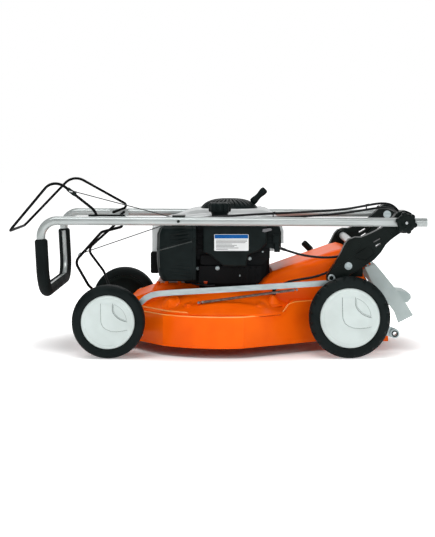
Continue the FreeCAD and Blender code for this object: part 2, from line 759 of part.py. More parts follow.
def flap_pin():
    """Pin that the flap turns on."""
    return across((FLAP_X, FLAP_Z), FLAP_PIN_R, -TUNNEL_HALF - 2, TUNNEL_HALF + 2)


# ---------------------------------------------------------------- handle

def handle_points():
    """Corners of the handle's centre line, from left end to right end."""
    left = [(TUBE_END_X, -TUBE_Y, PIVOT_Z - 0.3), (BEND_X, -TUBE_Y, BEND_Z),
            (LOOP_X, -TUBE_Y, LOOP_Z)]
    return left + [(x, -y, z) for x, y, z in reversed(left)]


HANDLE_RADII = [BEND_R, LOOP_R, LOOP_R, BEND_R]


def tube_height(x):
    """Height of the tube's centre line over a place along it."""
    share = (x - TUBE_END_X) / (BEND_X - TUBE_END_X)
    return PIVOT_Z - 0.3 + share * (BEND_Z - PIVOT_Z + 0.3)


def handle_tube():
    """U-shaped tube handle with a tab for the bail wires on its right side."""
    points = handle_points()
    outer = tube_along(points, HANDLE_RADII, TUBE_R)
    inner = tube_along(points, HANDLE_RADII, TUBE_R - TUBE_WALL)
    bolt = across((PIVOT_X, PIVOT_Z), BOLT_R + RUN_GAP, -230, 230)
    tab = slab([(-300, 325), (-300, 340), (-294, 344), (-252, 344), (-246, 340), (-246, 325)],
               ARM_OUT, TUBE_Y - TUBE_R + 1.2)
    return cut(fuse([outer, tab]), [inner, bolt] + bail_bores(1))


def grip_points():
    """Corners of the foam grip's centre line."""
    lean = (BEND_X - LOOP_X) / (BEND_Z - LOOP_Z)
    top_x = LOOP_X + lean * (GRIP_TOP - LOOP_Z)
    left = [(top_x, -TUBE_Y, GRIP_TOP), (LOOP_X, -TUBE_Y, LOOP_Z)]
    return left + [(x, -y, z) for x, y, z in reversed(left)]


def handle_grip():
    """Foam grip with a slot along the inner side of the loop."""
    points = grip_points()
    outer = tube_along(points, [LOOP_R, LOOP_R], GRIP_R)
    inward = []
    for index, (x, y, z) in enumerate(points):
        rise = GRIP_SLOT_IN if index in (1, 2) else 5.0
        inward.append((x, y - math.copysign(GRIP_SLOT_IN, y), z + rise))
    bend = LOOP_R - GRIP_SLOT_IN
    slot = tube_along(inward, [bend, bend], GRIP_SLOT_R)
    return cut(outer, [tube_along(points, [LOOP_R, LOOP_R], TUBE_R), slot])


def bail_bores(side):
    """Bores for the ends of both bail wires."""
    bores = []
    for x in (DRIVE_PIVOT_X, STOP_PIVOT_X):
        ends = sorted([side * 150.0, side * (TUBE_Y - TUBE_R - 0.2)])
        bores.append(across((x, BAIL_PIVOT_Z), BAIL_R + RUN_GAP, ends[0], ends[1]))
    return bores


def bail_holder():
    """Plate on the left tube's inner side with bores for the bail wires."""
    outline = [(-316, 326), (-312, 350), (-224, 350), (-218, 344), (-222, 327)]
    plate = slab(outline, -TUBE_Y + TUBE_R, -ARM_OUT)
    rest = slab([(-306, 328), (-232, 328), (-232, 348), (-306, 348)],
                -TUBE_Y + TUBE_R - 6, -TUBE_Y + TUBE_R)
    body = fuse([plate, rest]).cut(tube_along(handle_points(), HANDLE_RADII, TUBE_R))
    return cut(body, bail_bores(-1))


def drive_bail():
    """Bent wire bail that engages the drive."""
    top = (-399.3, 440.5)
    bar = (-522.3, 304.0)
    narrow = 114.0
    start = TUBE_Y - TUBE_R - 0.6
    near = [(DRIVE_PIVOT_X, -start, BAIL_PIVOT_Z), (DRIVE_PIVOT_X, -DRIVE_LANE, BAIL_PIVOT_Z),
            (-298.5, -DRIVE_LANE, 361.0), (top[0], -DRIVE_LANE, top[1]),
            (bar[0], -narrow, bar[1])]
    far = [(bar[0], narrow, bar[1]), (top[0], DRIVE_LANE, top[1]),
           (-242.0, DRIVE_LANE, 353.0), (DRIVE_PIVOT_X, DRIVE_LANE, BAIL_PIVOT_Z),
           (DRIVE_PIVOT_X, start, BAIL_PIVOT_Z)]
    radii = [4.0, 40.0, 40.0, 25.0, 25.0, 40.0, 8.0, 4.0]
    return tube_along(near + far, radii, BAIL_R)


def stop_bail():
    """Bent wire bail that stops the engine when let go."""
    start = TUBE_Y - TUBE_R - 0.6
    narrow = 100.0
    bar = (-286.0, 130.0)
    knee = (-313.5, 172.4)
    near = [(STOP_PIVOT_X, -start, BAIL_PIVOT_Z), (STOP_PIVOT_X, -STOP_LANE, BAIL_PIVOT_Z),
            (-218.0, -STOP_LANE, 322.0), (-281.0, -STOP_LANE, 305.7),
            (-347.5, -STOP_LANE, 231.6), (knee[0], -STOP_LANE, knee[1]),
            (bar[0], -narrow, bar[1])]
    far = [(bar[0], narrow, bar[1]), (knee[0], STOP_LANE, knee[1]),
           (-359.0, STOP_LANE, 233.0), (-285.0, STOP_LANE, 299.0),
           (-269.0, STOP_LANE, 326.0), (STOP_PIVOT_X, STOP_LANE, BAIL_PIVOT_Z),
           (STOP_PIVOT_X, start, BAIL_PIVOT_Z)]
    radii = [4.0, 5.0, 14.0, 20.0, 12.0, 20.0, 20.0, 12.0, 20.0, 14.0, 4.0, 4.0]
    return tube_along(near + far, radii, BAIL_R)


def hook_clamp(place, lane, wire_lane, bail, size):
    """Clamp round a bail arm with a small pin for the inner wire's eye."""
    body = box(place[0] - size, place[0] + size, -lane - 6, -lane + 4.6,
               place[1] - size, place[1] + size)
    pin = across(place, 1.5, -lane + 4.6, -wire_lane + 2.6)
    return fuse([body, pin]).cut(bail)


def inner_wire(hook, mouth, lane):
    """Bare wire from its eye on the bail to its tail inside the clip."""
    dx = mouth[0] - hook[0]
    dz = mouth[1] - hook[1]
    length = math.hypot(dx, dz)
    tail = 23.0
    reach = (length + tail) / length
    end = (hook[0] + dx * reach, -lane, hook[1] + dz * reach)
    start = (hook[0], -lane, hook[1])
    wire = rod(start, end, 0.9)
    eye = across(hook, 3.4, -lane - 2.0, -lane + 2.0)
    return fuse([wire, eye]).cut(across(hook, 1.5 + RUN_GAP, -lane - 5, -lane + 5))


def cable_clip():
    """Clip on the left tube: lips above and below it and two wire pockets."""
    x0 = CLIP_X - CLIP_LONG / 2
    x1 = CLIP_X + CLIP_LONG / 2
    body = box(x0, x1, -TUBE_Y - 4, -166, 320.8, 348.2)
    body = body.cut(tube_along(handle_points(), HANDLE_RADII, TUBE_R))
    body = body.cut(box(x0 - 1, x1 + 1, -TUBE_Y - 10, -TUBE_Y, 324.0, 344.8))
    pockets = [slab([(x0 - 1, 334.6), (x0 - 1, 346), (x1 - 4, 340), (x1 - 4, 331.5)],
                    -DRIVE_WIRE_LANE - 2, -DRIVE_WIRE_LANE + 2),
               slab([(x0 - 1, 327), (x0 - 1, 334), (x1 - 4, 342), (x1 - 4, 335)],
                    -STOP_WIRE_LANE - 2, -STOP_WIRE_LANE + 2)]
    rivet = across((CLIP_X, tube_height(CLIP_X)), 3.7, -TUBE_Y - TUBE_R - 1.0,
                   -TUBE_Y - TUBE_R + 0.5)
    rivet = rivet.cut(tube_along(handle_points(), HANDLE_RADII, TUBE_R))
    ends = [drive_cable_upper(), stop_cable_upper()]
    return group([cut(body, pockets + ends), rivet])


AXIS_PLACE = (PIVOT_X, PIVOT_Z)
CLIP_REAR = CLIP_X + CLIP_LONG / 2


def drive_cable_upper():
    """From the clip along the tube to the fold's axis, where it runs along the axis."""
    return cable([(CLIP_REAR, -178, 338), (-20, -181, 342), (40, -CABLE_LANE, 346),
                  (110, -CABLE_LANE, 350.5), (190, -CABLE_LANE, 354), (265, -CABLE_LANE, 358),
                  (330, -CABLE_LANE, 363), (378, -CABLE_LANE, 372), (415, -176, 378),
                  (444, -160, 374), (464, -149, 356), (AXIS_PLACE[0], -146, AXIS_PLACE[1]),
                  (AXIS_PLACE[0], -128, AXIS_PLACE[1])])


def drive_cable_lower():
    """From the fold's axis down to the gland on the deck."""
    return cable([(AXIS_PLACE[0], -128, AXIS_PLACE[1]), (AXIS_PLACE[0], -112, AXIS_PLACE[1]),
                  (464, -108, 308), (440, -116, 284), (408, -132, 262), (372, -143, 248),
                  (336, -146, 230), (298, -147, 207), (256, -149, 191), (212, -150, 184),
                  (174, -149, 176), (150, -146, 158)])


def stop_cable_upper():
    """From the clip along the tube to the fold's axis."""
    return cable([(CLIP_REAR, -170, 334), (-20, -178, 335), (40, -CABLE_LANE, 337),
                  (105, -CABLE_LANE, 340), (170, -CABLE_LANE, 342.5),
                  (240, -CABLE_LANE, 346), (305, -CABLE_LANE, 351),
                  (356, -CABLE_LANE, 358), (394, -178, 364), (424, -158, 366),
                  (448, -132, 362), (464, -108, 350), (AXIS_PLACE[0], -98, AXIS_PLACE[1]),
                  (AXIS_PLACE[0], -82, AXIS_PLACE[1])])


def stop_cable_lower():
    """From the fold's axis forward to the engine's bracket."""
    return cable([(AXIS_PLACE[0], -82, AXIS_PLACE[1]), (AXIS_PLACE[0], -66, AXIS_PLACE[1]),
                  (466, -62, 312), (446, -74, 294), (416, -98, 282), (385, -122, 270),
                  (350, -140, 252), (312, -144, 240.5), (270, -143, 238.5),
                  (228, -138, 243), (196, -130, 251), (166, -126, 261)])


def cable_gland():
    """Sleeve that takes the drive cable through the deck."""
    sleeve = rod((150, -146, 158), (139, -144, 118), 6)
    return cut(sleeve, [DECK_SOLID, drive_cable_lower()])


# ---------------------------------------------------------------- star knobs

def star_knob():
    """Left star knob, bored for its bolt."""
    face = TUBE_Y + TUBE_R + 0.5
    lobes = []
    for step in range(6):
        angle = 2 * math.pi * step / 6 + 0.25
        place = (PIVOT_X + 20 * math.cos(angle), PIVOT_Z + 20 * math.sin(angle))
        lobes.append(across(place, 8.0, -face - 22, -face - 4))
    core = across((PIVOT_X, PIVOT_Z), 21, -face - 23, -face - 3)
    hub = across((PIVOT_X, PIVOT_Z), 13, -face - 3, -face)
    bore = across((PIVOT_X, PIVOT_Z), BOLT_R + RUN_GAP, -face - 16.5, -face + 1)
    return fuse([core, hub] + lobes).cut(bore)


# ---------------------------------------------------------------- all nodes

def wheel_nodes():
    """Tyre, rim and cover nodes of all four wheels."""
    nodes = {}
    for name, wheel, radius, side, lugs in (
            ("front_left", FRONT_WHEEL, FRONT_R, -1, False),
            ("front_right", FRONT_WHEEL, FRONT_R, 1, False),
            ("rear_left", REAR_WHEEL, REAR_R, -1, True),
            ("rear_right", REAR_WHEEL, REAR_R, 1, True)):
        tyre, rim, cover = wheel_parts(wheel, radius, side, lugs)
        nodes["tyre_" + name] = tyre
        nodes["rim_" + name] = rim
        nodes["cover_" + name] = cover
    return nodes


def all_nodes():
    """Every node by name."""
    left_console = console_left()
    drive = drive_bail()
    stop = stop_bail()
    knob = star_knob()
    nodes = {
        "deck_housing": deck_housing(),
        "console_left": left_console,
        "console_right": mirrored(left_console),
        "carry_bar": carry_bar(),
        "chassis_bolts": chassis_bolts(),
        "clamp_bolts": clamp_bolts(),
        "axle_brackets": axle_brackets(),
        "lug_rings": lug_rings(),
        "front_axle": cranked_axle(FRONT_WHEEL),
        "rear_axle": cranked_axle(REAR_WHEEL),
        "drive_gearbox": drive_gearbox(),
        "link_bar": link_bar(),
        "assist_spring": assist_spring(),
        "height_lever": height_lever(),
        "height_knob": height_knob(),
        "blade": blade(),
        "blade_adapter": blade_adapter(),
        "engine_block": engine_block(),
        "cylinder_head": cylinder_head(),
        "blower_shroud": blower_shroud(),
        "recoil_cover": recoil_cover(),
        "air_filter_cover": air_filter_cover(),
        "fuel_tank": fuel_tank(),
        "fuel_cap": fuel_cap(),
        "muffler_guard": muffler_guard(),
        "engine_screws": engine_screws(),
        "control_bracket": control_bracket(),
        "starter_grip": starter_grip(),
        "starter_rope": starter_rope(),
        "flap": flap(),
        "flap_pin": flap_pin(),
        "handle_tube": handle_tube(),
        "handle_grip": handle_grip(),
        "bail_holder": bail_holder(),
        "drive_bail": drive,
        "stop_bail": stop,
        "drive_bail_clamp": hook_clamp(DRIVE_HOOK, DRIVE_LANE, DRIVE_WIRE_LANE, drive, 7.0),
        "stop_bail_hook": hook_clamp(STOP_HOOK, STOP_LANE, STOP_WIRE_LANE, stop, 6.0),
        "drive_wire": inner_wire(DRIVE_HOOK, DRIVE_MOUTH, DRIVE_WIRE_LANE),
        "stop_wire": inner_wire(STOP_HOOK, STOP_MOUTH, STOP_WIRE_LANE),
        "cable_clip": cable_clip(),
        "drive_cable_upper": drive_cable_upper(),
        "drive_cable_lower": drive_cable_lower(),
        "stop_cable_upper": stop_cable_upper(),
        "stop_cable_lower": stop_cable_lower(),
        "cable_gland": cable_gland(),
        "knob_left": knob,
        "knob_right": mirrored(knob),
    }
    nodes.update(wheel_nodes())
    return nodes


def export(nodes):
    """One STEP file for each node, and its bounds in the log."""
    os.makedirs("parts", exist_ok=True)
    for name in sorted(nodes):
        shape = nodes[name]
        if not shape.isValid():
            print("not valid:", name)
        shape.exportStep("parts/" + name + ".step")
        b = shape.BoundBox
        print("%-20s solids %d  x %.1f %.1f  y %.1f %.1f  z %.1f %.1f" % (
            name, len(shape.Solids), b.XMin, b.XMax, b.YMin, b.YMax, b.ZMin, b.ZMax))


export(all_nodes())
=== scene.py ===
import bpy
import bmesh
import math
import numpy as np
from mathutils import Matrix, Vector


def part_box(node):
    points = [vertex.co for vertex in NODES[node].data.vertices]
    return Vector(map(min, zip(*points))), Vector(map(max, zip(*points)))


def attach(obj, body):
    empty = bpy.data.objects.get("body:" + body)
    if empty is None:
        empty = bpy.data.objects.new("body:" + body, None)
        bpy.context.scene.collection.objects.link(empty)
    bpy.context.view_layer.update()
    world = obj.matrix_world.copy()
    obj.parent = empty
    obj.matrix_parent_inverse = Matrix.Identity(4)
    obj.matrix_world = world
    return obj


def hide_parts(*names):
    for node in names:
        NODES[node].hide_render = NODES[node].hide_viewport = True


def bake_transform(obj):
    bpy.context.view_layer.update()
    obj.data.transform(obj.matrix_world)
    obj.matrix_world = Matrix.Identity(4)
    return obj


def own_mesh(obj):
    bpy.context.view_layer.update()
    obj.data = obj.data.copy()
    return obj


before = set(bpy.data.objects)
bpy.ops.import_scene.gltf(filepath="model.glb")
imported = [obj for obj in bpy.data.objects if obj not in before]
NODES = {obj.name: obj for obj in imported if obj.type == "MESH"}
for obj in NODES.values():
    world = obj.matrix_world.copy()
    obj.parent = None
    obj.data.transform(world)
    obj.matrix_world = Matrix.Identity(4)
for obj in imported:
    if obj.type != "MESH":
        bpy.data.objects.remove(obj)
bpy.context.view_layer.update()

WHEELS = ("front_left", "front_right", "rear_left", "rear_right")
MM = 0.001


# ------------------------------------------------------------ materials

def new_material(name, colour, roughness, metallic=0.0, coat=0.0, specular=0.5):
    """Principled material whose constant values sit on the shader's own sockets."""
    mat = bpy.data.materials.new(name)
    mat.use_nodes = True
    shader = mat.node_tree.nodes["Principled BSDF"]
    shader.inputs["Base Color"].default_value = (*colour, 1.0)
    shader.inputs["Roughness"].default_value = roughness
    shader.inputs["Metallic"].default_value = metallic
    shader.inputs["Specular IOR Level"].default_value = specular
    shader.inputs["Coat Weight"].default_value = coat
    shader.inputs["Coat Roughness"].default_value = 0.12
    return mat


def place_node(mat, stretch=(1.0, 1.0, 1.0)):
    """Object coordinates, stretched for brushed or drawn surfaces."""
    nodes = mat.node_tree.nodes
    coords = nodes.new("ShaderNodeTexCoord")
    mapping = nodes.new("ShaderNodeMapping")
    mapping.inputs["Scale"].default_value = stretch
    mat.node_tree.links.new(coords.outputs["Object"], mapping.inputs["Vector"])
    return mapping.outputs["Vector"]


def noise_node(mat, vector, scale, detail=3.0):
    """Noise pattern of one scale; gives its factor."""
    nodes = mat.node_tree.nodes
    noise = nodes.new("ShaderNodeTexNoise")
    noise.inputs["Scale"].default_value = scale
    noise.inputs["Detail"].default_value = detail
    mat.node_tree.links.new(vector, noise.inputs["Vector"])
    return noise.outputs["Fac"]


def colour_range(mat, factor, dark, light, low=0.35, high=0.65):
    """Base colour that drifts between two shades."""
    nodes = mat.node_tree.nodes
    ramp = nodes.new("ShaderNodeValToRGB")
    ramp.color_ramp.elements[0].position = low
    ramp.color_ramp.elements[0].color = (*dark, 1.0)
    ramp.color_ramp.elements[1].position = high
    ramp.color_ramp.elements[1].color = (*light, 1.0)
    mat.node_tree.links.new(factor, ramp.inputs["Fac"])
    shader = nodes["Principled BSDF"]
    mat.node_tree.links.new(ramp.outputs["Color"], shader.inputs["Base Color"])


def roughness_range(mat, factor, low, high):
    """Roughness that drifts with a factor."""
    nodes = mat.node_tree.nodes
    spread = nodes.new("ShaderNodeMapRange")
    spread.inputs["From Min"].default_value = 0.3
    spread.inputs["From Max"].default_value = 0.7
    spread.inputs["To Min"].default_value = low
    spread.inputs["To Max"].default_value = high
    mat.node_tree.links.new(factor, spread.inputs["Value"])
    shader = nodes["Principled BSDF"]
    mat.node_tree.links.new(spread.outputs["Result"], shader.inputs["Roughness"])


def bump(mat, height, strength, distance):
    """Bump on the normal; distance is in metres."""
    nodes = mat.node_tree.nodes
    node = nodes.new("ShaderNodeBump")
    node.inputs["Strength"].default_value = strength
    node.inputs["Distance"].default_value = distance
    mat.node_tree.links.new(height, node.inputs["Height"])
    shader = nodes["Principled BSDF"]
    mat.node_tree.links.new(node.outputs["Normal"], shader.inputs["Normal"])


def paint(name, dark, light, roughness, coat, metallic=0.0, specular=0.5):
    """Sprayed enamel: slow colour drift and a fine orange-peel skin."""
    mat = new_material(name, light, roughness, metallic, coat, specular)
    vector = place_node(mat)
    drift = noise_node(mat, vector, 9.0)
    colour_range(mat, drift, dark, light)
    roughness_range(mat, drift, roughness * 0.85, roughness * 1.2)
    bump(mat, noise_node(mat, vector, 260.0, 1.0), 0.05, 0.0004)
    return mat


def plastic(name, dark, light, roughness, grain=650.0, depth=0.12, specular=0.25):
    """Moulded plastic with a spark-eroded grain."""
    mat = new_material(name, light, roughness, specular=specular)
    vector = place_node(mat)
    drift = noise_node(mat, vector, 22.0)
    colour_range(mat, drift, dark, light)
    roughness_range(mat, drift, roughness * 0.85, roughness * 1.15)
    bump(mat, noise_node(mat, vector, grain, 2.0), depth, 0.0003)
    return mat


def bare_metal(name, dark, light, roughness, stretch):
    """Zinc-plated, drawn or rolled steel with fine lines along one way."""
    mat = new_material(name, light, roughness, 0.85)
    vector = place_node(mat, stretch)
    lines = noise_node(mat, vector, 120.0, 4.0)
    colour_range(mat, lines, dark, light, 0.3, 0.7)
    roughness_range(mat, lines, roughness * 0.8, roughness * 1.3)
    bump(mat, lines, 0.06, 0.0002)
    return mat


ORANGE = paint("deck_enamel", (0.90, 0.105, 0.001), (1.0, 0.140, 0.002), 0.33, 0.03,
               specular=0.06)
# Lighter, glossier orange for the ledge and brow beads: a painted highlight along their rounded tops.
PAINTED_HIGHLIGHT_ORANGE = paint("deck_painted_highlight_enamel", (1.0, 0.26, 0.03), (1.0, 0.36, 0.07), 0.22, 0.5)
SILVER = paint("tube_lacquer", (0.34, 0.37, 0.365), (0.41, 0.445, 0.44), 0.30, 0.25, 0.35)
SHROUD = paint("shroud_lacquer", (0.40, 0.42, 0.42), (0.48, 0.50, 0.50), 0.38, 0.2, 0.2)
BLACK = plastic("console_plastic", (0.003, 0.006, 0.005), (0.006, 0.010, 0.009), 0.36,
                specular=0.09)
ENGINE = plastic("engine_plastic", (0.003, 0.006, 0.006), (0.007, 0.012, 0.012), 0.40,
                 specular=0.08)
CAST = plastic("cast_black", (0.001, 0.0015, 0.002), (0.004, 0.005, 0.006), 0.6, 240.0, 0.4,
               0.12)
GREY = plastic("cover_plastic", (0.535, 0.60, 0.585), (0.585, 0.655, 0.64), 0.36, 800.0, 0.05)
# Darker grey for the steep walls of the wheel covers' relief: painted shade along the band's edges.
COVER_PAINTED_SHADE = plastic("cover_painted_shade_plastic", (0.19, 0.225, 0.22), (0.25, 0.285, 0.28), 0.5)
FLAP = plastic("flap_plastic", (0.43, 0.50, 0.49), (0.48, 0.55, 0.545), 0.45, 700.0, 0.1)
RUBBER = plastic("tyre_rubber", (0.003, 0.006, 0.006), (0.007, 0.011, 0.011), 0.55, 420.0, 0.25,
                 0.09)
FOAM = plastic("grip_foam", (0.003, 0.005, 0.005), (0.006, 0.009, 0.009), 0.8, 900.0, 0.8, 0.1)
WIRE = paint("bail_enamel", (0.001, 0.0012, 0.0014), (0.003, 0.004, 0.004), 0.5, 0.0,
             specular=0.06)
STRAND = plastic("wire_strand", (0.035, 0.04, 0.04), (0.06, 0.066, 0.066), 0.6, 900.0, 0.1)
# Lighter black for thin strips on the air filter cover: painted highlight along its rounded rim and
# crease.
ENGINE_PAINTED_HIGHLIGHT = plastic("engine_painted_highlight_plastic", (0.045, 0.052, 0.05), (0.062, 0.07, 0.068), 0.5)
CABLE = plastic("cable_jacket", (0.003, 0.004, 0.005), (0.007, 0.009, 0.010), 0.38, 900.0, 0.1,
                0.2)
ZINC = bare_metal("zinc_steel", (0.29, 0.345, 0.355), (0.45, 0.52, 0.53), 0.38, (0.25, 1.0, 1.0))
STEEL = bare_metal("dark_steel", (0.12, 0.12, 0.125), (0.22, 0.22, 0.23), 0.45, (1.0, 0.2, 1.0))
ROPE = plastic("rope_nylon", (0.03, 0.032, 0.032), (0.10, 0.105, 0.105), 0.7, 500.0, 0.6)
SPRING = bare_metal("spring_steel", (0.12, 0.105, 0.095), (0.30, 0.28, 0.26), 0.4,
                    (1.0, 1.0, 1.0))
PALE = plastic("pale_metal", (0.45, 0.48, 0.48), (0.6, 0.63, 0.63), 0.4, 600.0, 0.05)
RED = paint("red_plastic", (0.50, 0.05, 0.01), (0.62, 0.08, 0.02), 0.35, 0.1)
LABEL_WHITE = paint("label_white", (0.72, 0.75, 0.75), (0.80, 0.83, 0.83), 0.42, 0.1)
LABEL_BLUE = paint("label_blue", (0.004, 0.085, 0.30), (0.008, 0.11, 0.36), 0.5, 0.0, specular=0.1)
LABEL_GREY = paint("label_grey", (0.03, 0.034, 0.04), (0.05, 0.055, 0.06), 0.5, 0.0, specular=0.1)

NODE_MATERIALS = {
    ORANGE: ["deck_housing"],
    SILVER: ["handle_tube", "carry_bar"],
    SHROUD: ["blower_shroud"],
    BLACK: ["console_left", "console_right", "height_knob", "knob_left", "knob_right",
            "cable_clip", "bail_holder", "cable_gland", "lug_rings", "drive_bail_clamp",
            "stop_bail_hook"] + ["rim_" + wheel for wheel in WHEELS],
    ENGINE: ["recoil_cover", "air_filter_cover", "fuel_tank", "fuel_cap", "starter_grip",
             "control_bracket"],
    CAST: ["engine_block", "cylinder_head", "muffler_guard", "drive_gearbox"],
    GREY: ["cover_" + wheel for wheel in WHEELS],
    FLAP: ["flap"],
    RUBBER: ["tyre_" + wheel for wheel in WHEELS],
    FOAM: ["handle_grip"],
    WIRE: ["drive_bail", "stop_bail"],
    CABLE: ["drive_cable_upper", "drive_cable_lower", "stop_cable_upper", "stop_cable_lower"],
    ZINC: ["chassis_bolts", "clamp_bolts", "link_bar", "height_lever", "assist_spring",
           "axle_brackets", "front_axle", "rear_axle", "flap_pin", "engine_screws"],
    STEEL: ["blade", "blade_adapter", "drive_wire", "stop_wire"],
    ROPE: ["starter_rope"],
}


def dress_cad_nodes():
    """Give every CAD node its material."""
    for mat, names in NODE_MATERIALS.items():
        for name in names:
            node = NODES[name]
            if not node.material_slots:
                node.data.materials.append(mat)
            for slot in node.material_slots:
                slot.material = mat


# ------------------------------------------------------------ mesh helpers

def at(x, y, z):
    """Place in the row frame from millimetres."""
    return Vector((x, y, z)) * MM


def piece(name, build, materials, body, sharp=40.0):
    """Mesh piece from a bmesh, smooth apart from its sharp edges, that rides on a body.

    A piece with None for its body is attached to no body.
    """
    bmesh.ops.recalc_face_normals(build, faces=build.faces)
    mesh = bpy.data.meshes.new(name)
    build.to_mesh(mesh)
    build.free()
    for mat in materials:
        mesh.materials.append(mat)
    for face in mesh.polygons:
        face.use_smooth = True
    mesh.set_sharp_from_angle(angle=math.radians(sharp))
    obj = bpy.data.objects.new(name, mesh)
    bpy.context.collection.objects.link(obj)
    if body is not None:
        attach(obj, body)
    return obj


def frames_along(points):
    """Two side directions at each point of a path, turned as little as possible."""
    ways = []
    for index in range(len(points)):
        ahead = points[min(index + 1, len(points) - 1)]
        behind = points[max(index - 1, 0)]
        ways.append((ahead - behind).normalized())
    side = ways[0].orthogonal().normalized()
    frames = []
    for way in ways:
        side = (side - way * side.dot(way)).normalized()
        frames.append((side, way.cross(side)))
    return frames


def sweep(build, points, radius, sides=10, mat=0):
    """Round bar along a path of points; radius is in millimetres, one or one per point."""
    rings = []
    for index, (side, other) in enumerate(frames_along(points)):
        r = radius[index] if isinstance(radius, list) else radius
        ring = []
        for step in range(sides):
            angle = 2 * math.pi * step / sides
            offset = side * math.cos(angle) + other * math.sin(angle)
            ring.append(build.verts.new(points[index] + offset * r * MM))
        rings.append(ring)
    for near, far in zip(rings, rings[1:]):
        for step in range(sides):
            other_step = (step + 1) % sides
            face = build.faces.new((near[step], near[other_step], far[other_step], far[step]))
            face.material_index = mat
    for cap in (rings[0][::-1], rings[-1]):
        build.faces.new(cap).material_index = mat


def lathe(build, profile, centre, axis, segments=96, shape=None, mat=0):
    """Solid of revolution of (radius, height) pairs in millimetres; shape bends the radius."""
    axis = Vector(axis).normalized()
    side = Vector((0, 0, 1)) if abs(axis.z) < 0.9 else Vector((1, 0, 0))
    side = (side - axis * side.dot(axis)).normalized()
    other = axis.cross(side)
    rings = []
    for radius, height in profile:
        middle = at(*centre) + axis * height * MM
        if radius == 0:
            rings.append([build.verts.new(middle)])
            continue
        ring = []
        for step in range(segments):
            angle = 2 * math.pi * step / segments
            r = shape(radius, height, angle) if shape else radius
            way = side * math.cos(angle) + other * math.sin(angle)
            ring.append(build.verts.new(middle + way * r * MM))
        rings.append(ring)
    for near, far in zip(rings, rings[1:]):
        for step in range(segments):
            nxt = (step + 1) % segments
            corners = [near[step % len(near)], near[nxt % len(near)],
                       far[nxt % len(far)], far[step % len(far)]]
            unique = list(dict.fromkeys(corners))
            if len(unique) > 2:
                build.faces.new(unique).material_index = mat
    return rings


def join_rings(build, near, far, mat=0):
    """Band of quads between two closed rings of vertices."""
    count = len(near)
    for step in range(count):
        nxt = (step + 1) % count
        build.faces.new((near[step], near[nxt], far[nxt], far[step])).material_index = mat


def smooth_route(places):
    """Points along the smooth curve that a list of places in millimetres controls."""
    curve = bpy.data.curves.new("route", "CURVE")
    curve.dimensions = "3D"
    curve.resolution_u = 10
    spline = curve.splines.new("NURBS")
    spline.points.add(len(places) - 1)
    for point, place in zip(spline.points, places):
        point.co = (*at(*place), 1.0)
    spline.order_u = 3
    spline.use_endpoint_u = True
    holder = bpy.data.objects.new("route", curve)
    mesh = bpy.data.meshes.new_from_object(holder)
    points = [v.co.copy() for v in mesh.vertices]
    bpy.data.objects.remove(holder)
    bpy.data.curves.remove(curve)
    bpy.data.meshes.remove(mesh)
    return points


def soft_step(value, low, high):
    """Smooth rise from 0 at low to 1 at high, for numbers or arrays."""
    share = np.clip((value - low) / (high - low), 0.0, 1.0)
    return share * share * (3 - 2 * share)


# ------------------------------------------------------------ wheels (sizes in millimetres)

# Height above the bead and depth across the tyre, from its inner face outwards.
TYRE_PROFILE = [(0.0, 4.0), (0.2, 2.0), (1.6, 0.9), (8.0, 0.3), (14.0, 0.9), (18.0, 2.6),
                (21.0, 5.6), (22.6, 9.5), (23.2, 13.5), (21.9, 14.0), (21.9, 15.2),
                (23.5, 15.8), (23.8, 20.4), (22.4, 21.0), (22.4, 23.0), (23.8, 23.6),
                (23.5, 28.2), (21.9, 28.8), (21.9, 30.0), (23.2, 30.5), (22.6, 34.5),
                (21.0, 38.4), (18.0, 41.4), (14.0, 43.1), (8.0, 43.7), (1.6, 43.1),
                (0.2, 42.0), (0.0, 40.0)]
TYRE_INNER_Y = 205.0
TYRE_TALL = 23.8
TYRE_MIDDLE = 22.0
BEAD_SHARE = 0.752
LUGS = 24
LUG_DEPTH = 3.2


def tyre(name, lugs):
    """Moulded tyre: ribs round the tread and, at the rear, lugs along both shoulders."""
    low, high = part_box("tyre_" + name)
    radius = (high.x - low.x) / 2 / MM
    side = 1 if low.y > 0 else -1
    bead = radius * BEAD_SHARE
    tall = (radius - bead) / TYRE_TALL
    centre = ((low.x + high.x) / 2 / MM, side * TYRE_INNER_Y, (low.z + high.z) / 2 / MM)
    profile = [(bead + r * tall, depth) for r, depth in TYRE_PROFILE]
    lug_step = 2 * math.pi / LUGS

    def lugged(r, depth, angle):
        """Radius with the grooves between the lugs of both shoulders."""
        shoulder = abs(depth - TYRE_MIDDLE)
        if not lugs or shoulder < 8 or r < bead + 15 * tall:
            return r
        phase = (angle % lug_step) / lug_step
        groove = soft_step(abs(phase - 0.5), 0.10, 0.17)
        return r - (1 - groove) * LUG_DEPTH

    build = bmesh.new()
    segments = 288 if lugs else 160
    rings = lathe(build, profile, centre, (0, side, 0), segments, lugged)
    join_rings(build, rings[-1], rings[0])
    obj = piece("tyre_skin_" + name, build, [RUBBER], "wheel_" + name, 50)
    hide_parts("tyre_" + name)


# Edges of the raised band on a cover of COVER_R, from its top down and round to its rear.
COVER_R = 75.2
COVER_FACE = 246.6
BAND_OUTER = [(-19, 55), (-19, 29), (-18, 0), (-13, -12), (-4, -19), (8, -23.5),
              (23, -25), (40, -23.5), (57, -20)]
BAND_INNER = [(13, 60), (13, 34), (15, 26), (20, 19), (27, 12), (35, 7), (46, 3), (59, 0)]


def distance_to(line, x, z):
    """Distance of points to a broken line, with its sign from the line's left side."""
    best = np.full(x.shape, 1e9)
    sign = np.ones(x.shape)
    for (ax, az), (bx, bz) in zip(line, line[1:]):
        dx, dz = bx - ax, bz - az
        share = ((x - ax) * dx + (z - az) * dz) / (dx * dx + dz * dz)
        share = np.clip(share, 0, 1)
        away_x = x - ax - share * dx
        away_z = z - az - share * dz
        gap = np.hypot(away_x, away_z)
        turn = dx * away_z - dz * away_x
        nearer = gap < best
        best = np.where(nearer, gap, best)
        sign = np.where(nearer, np.sign(turn), sign)
    return best * sign


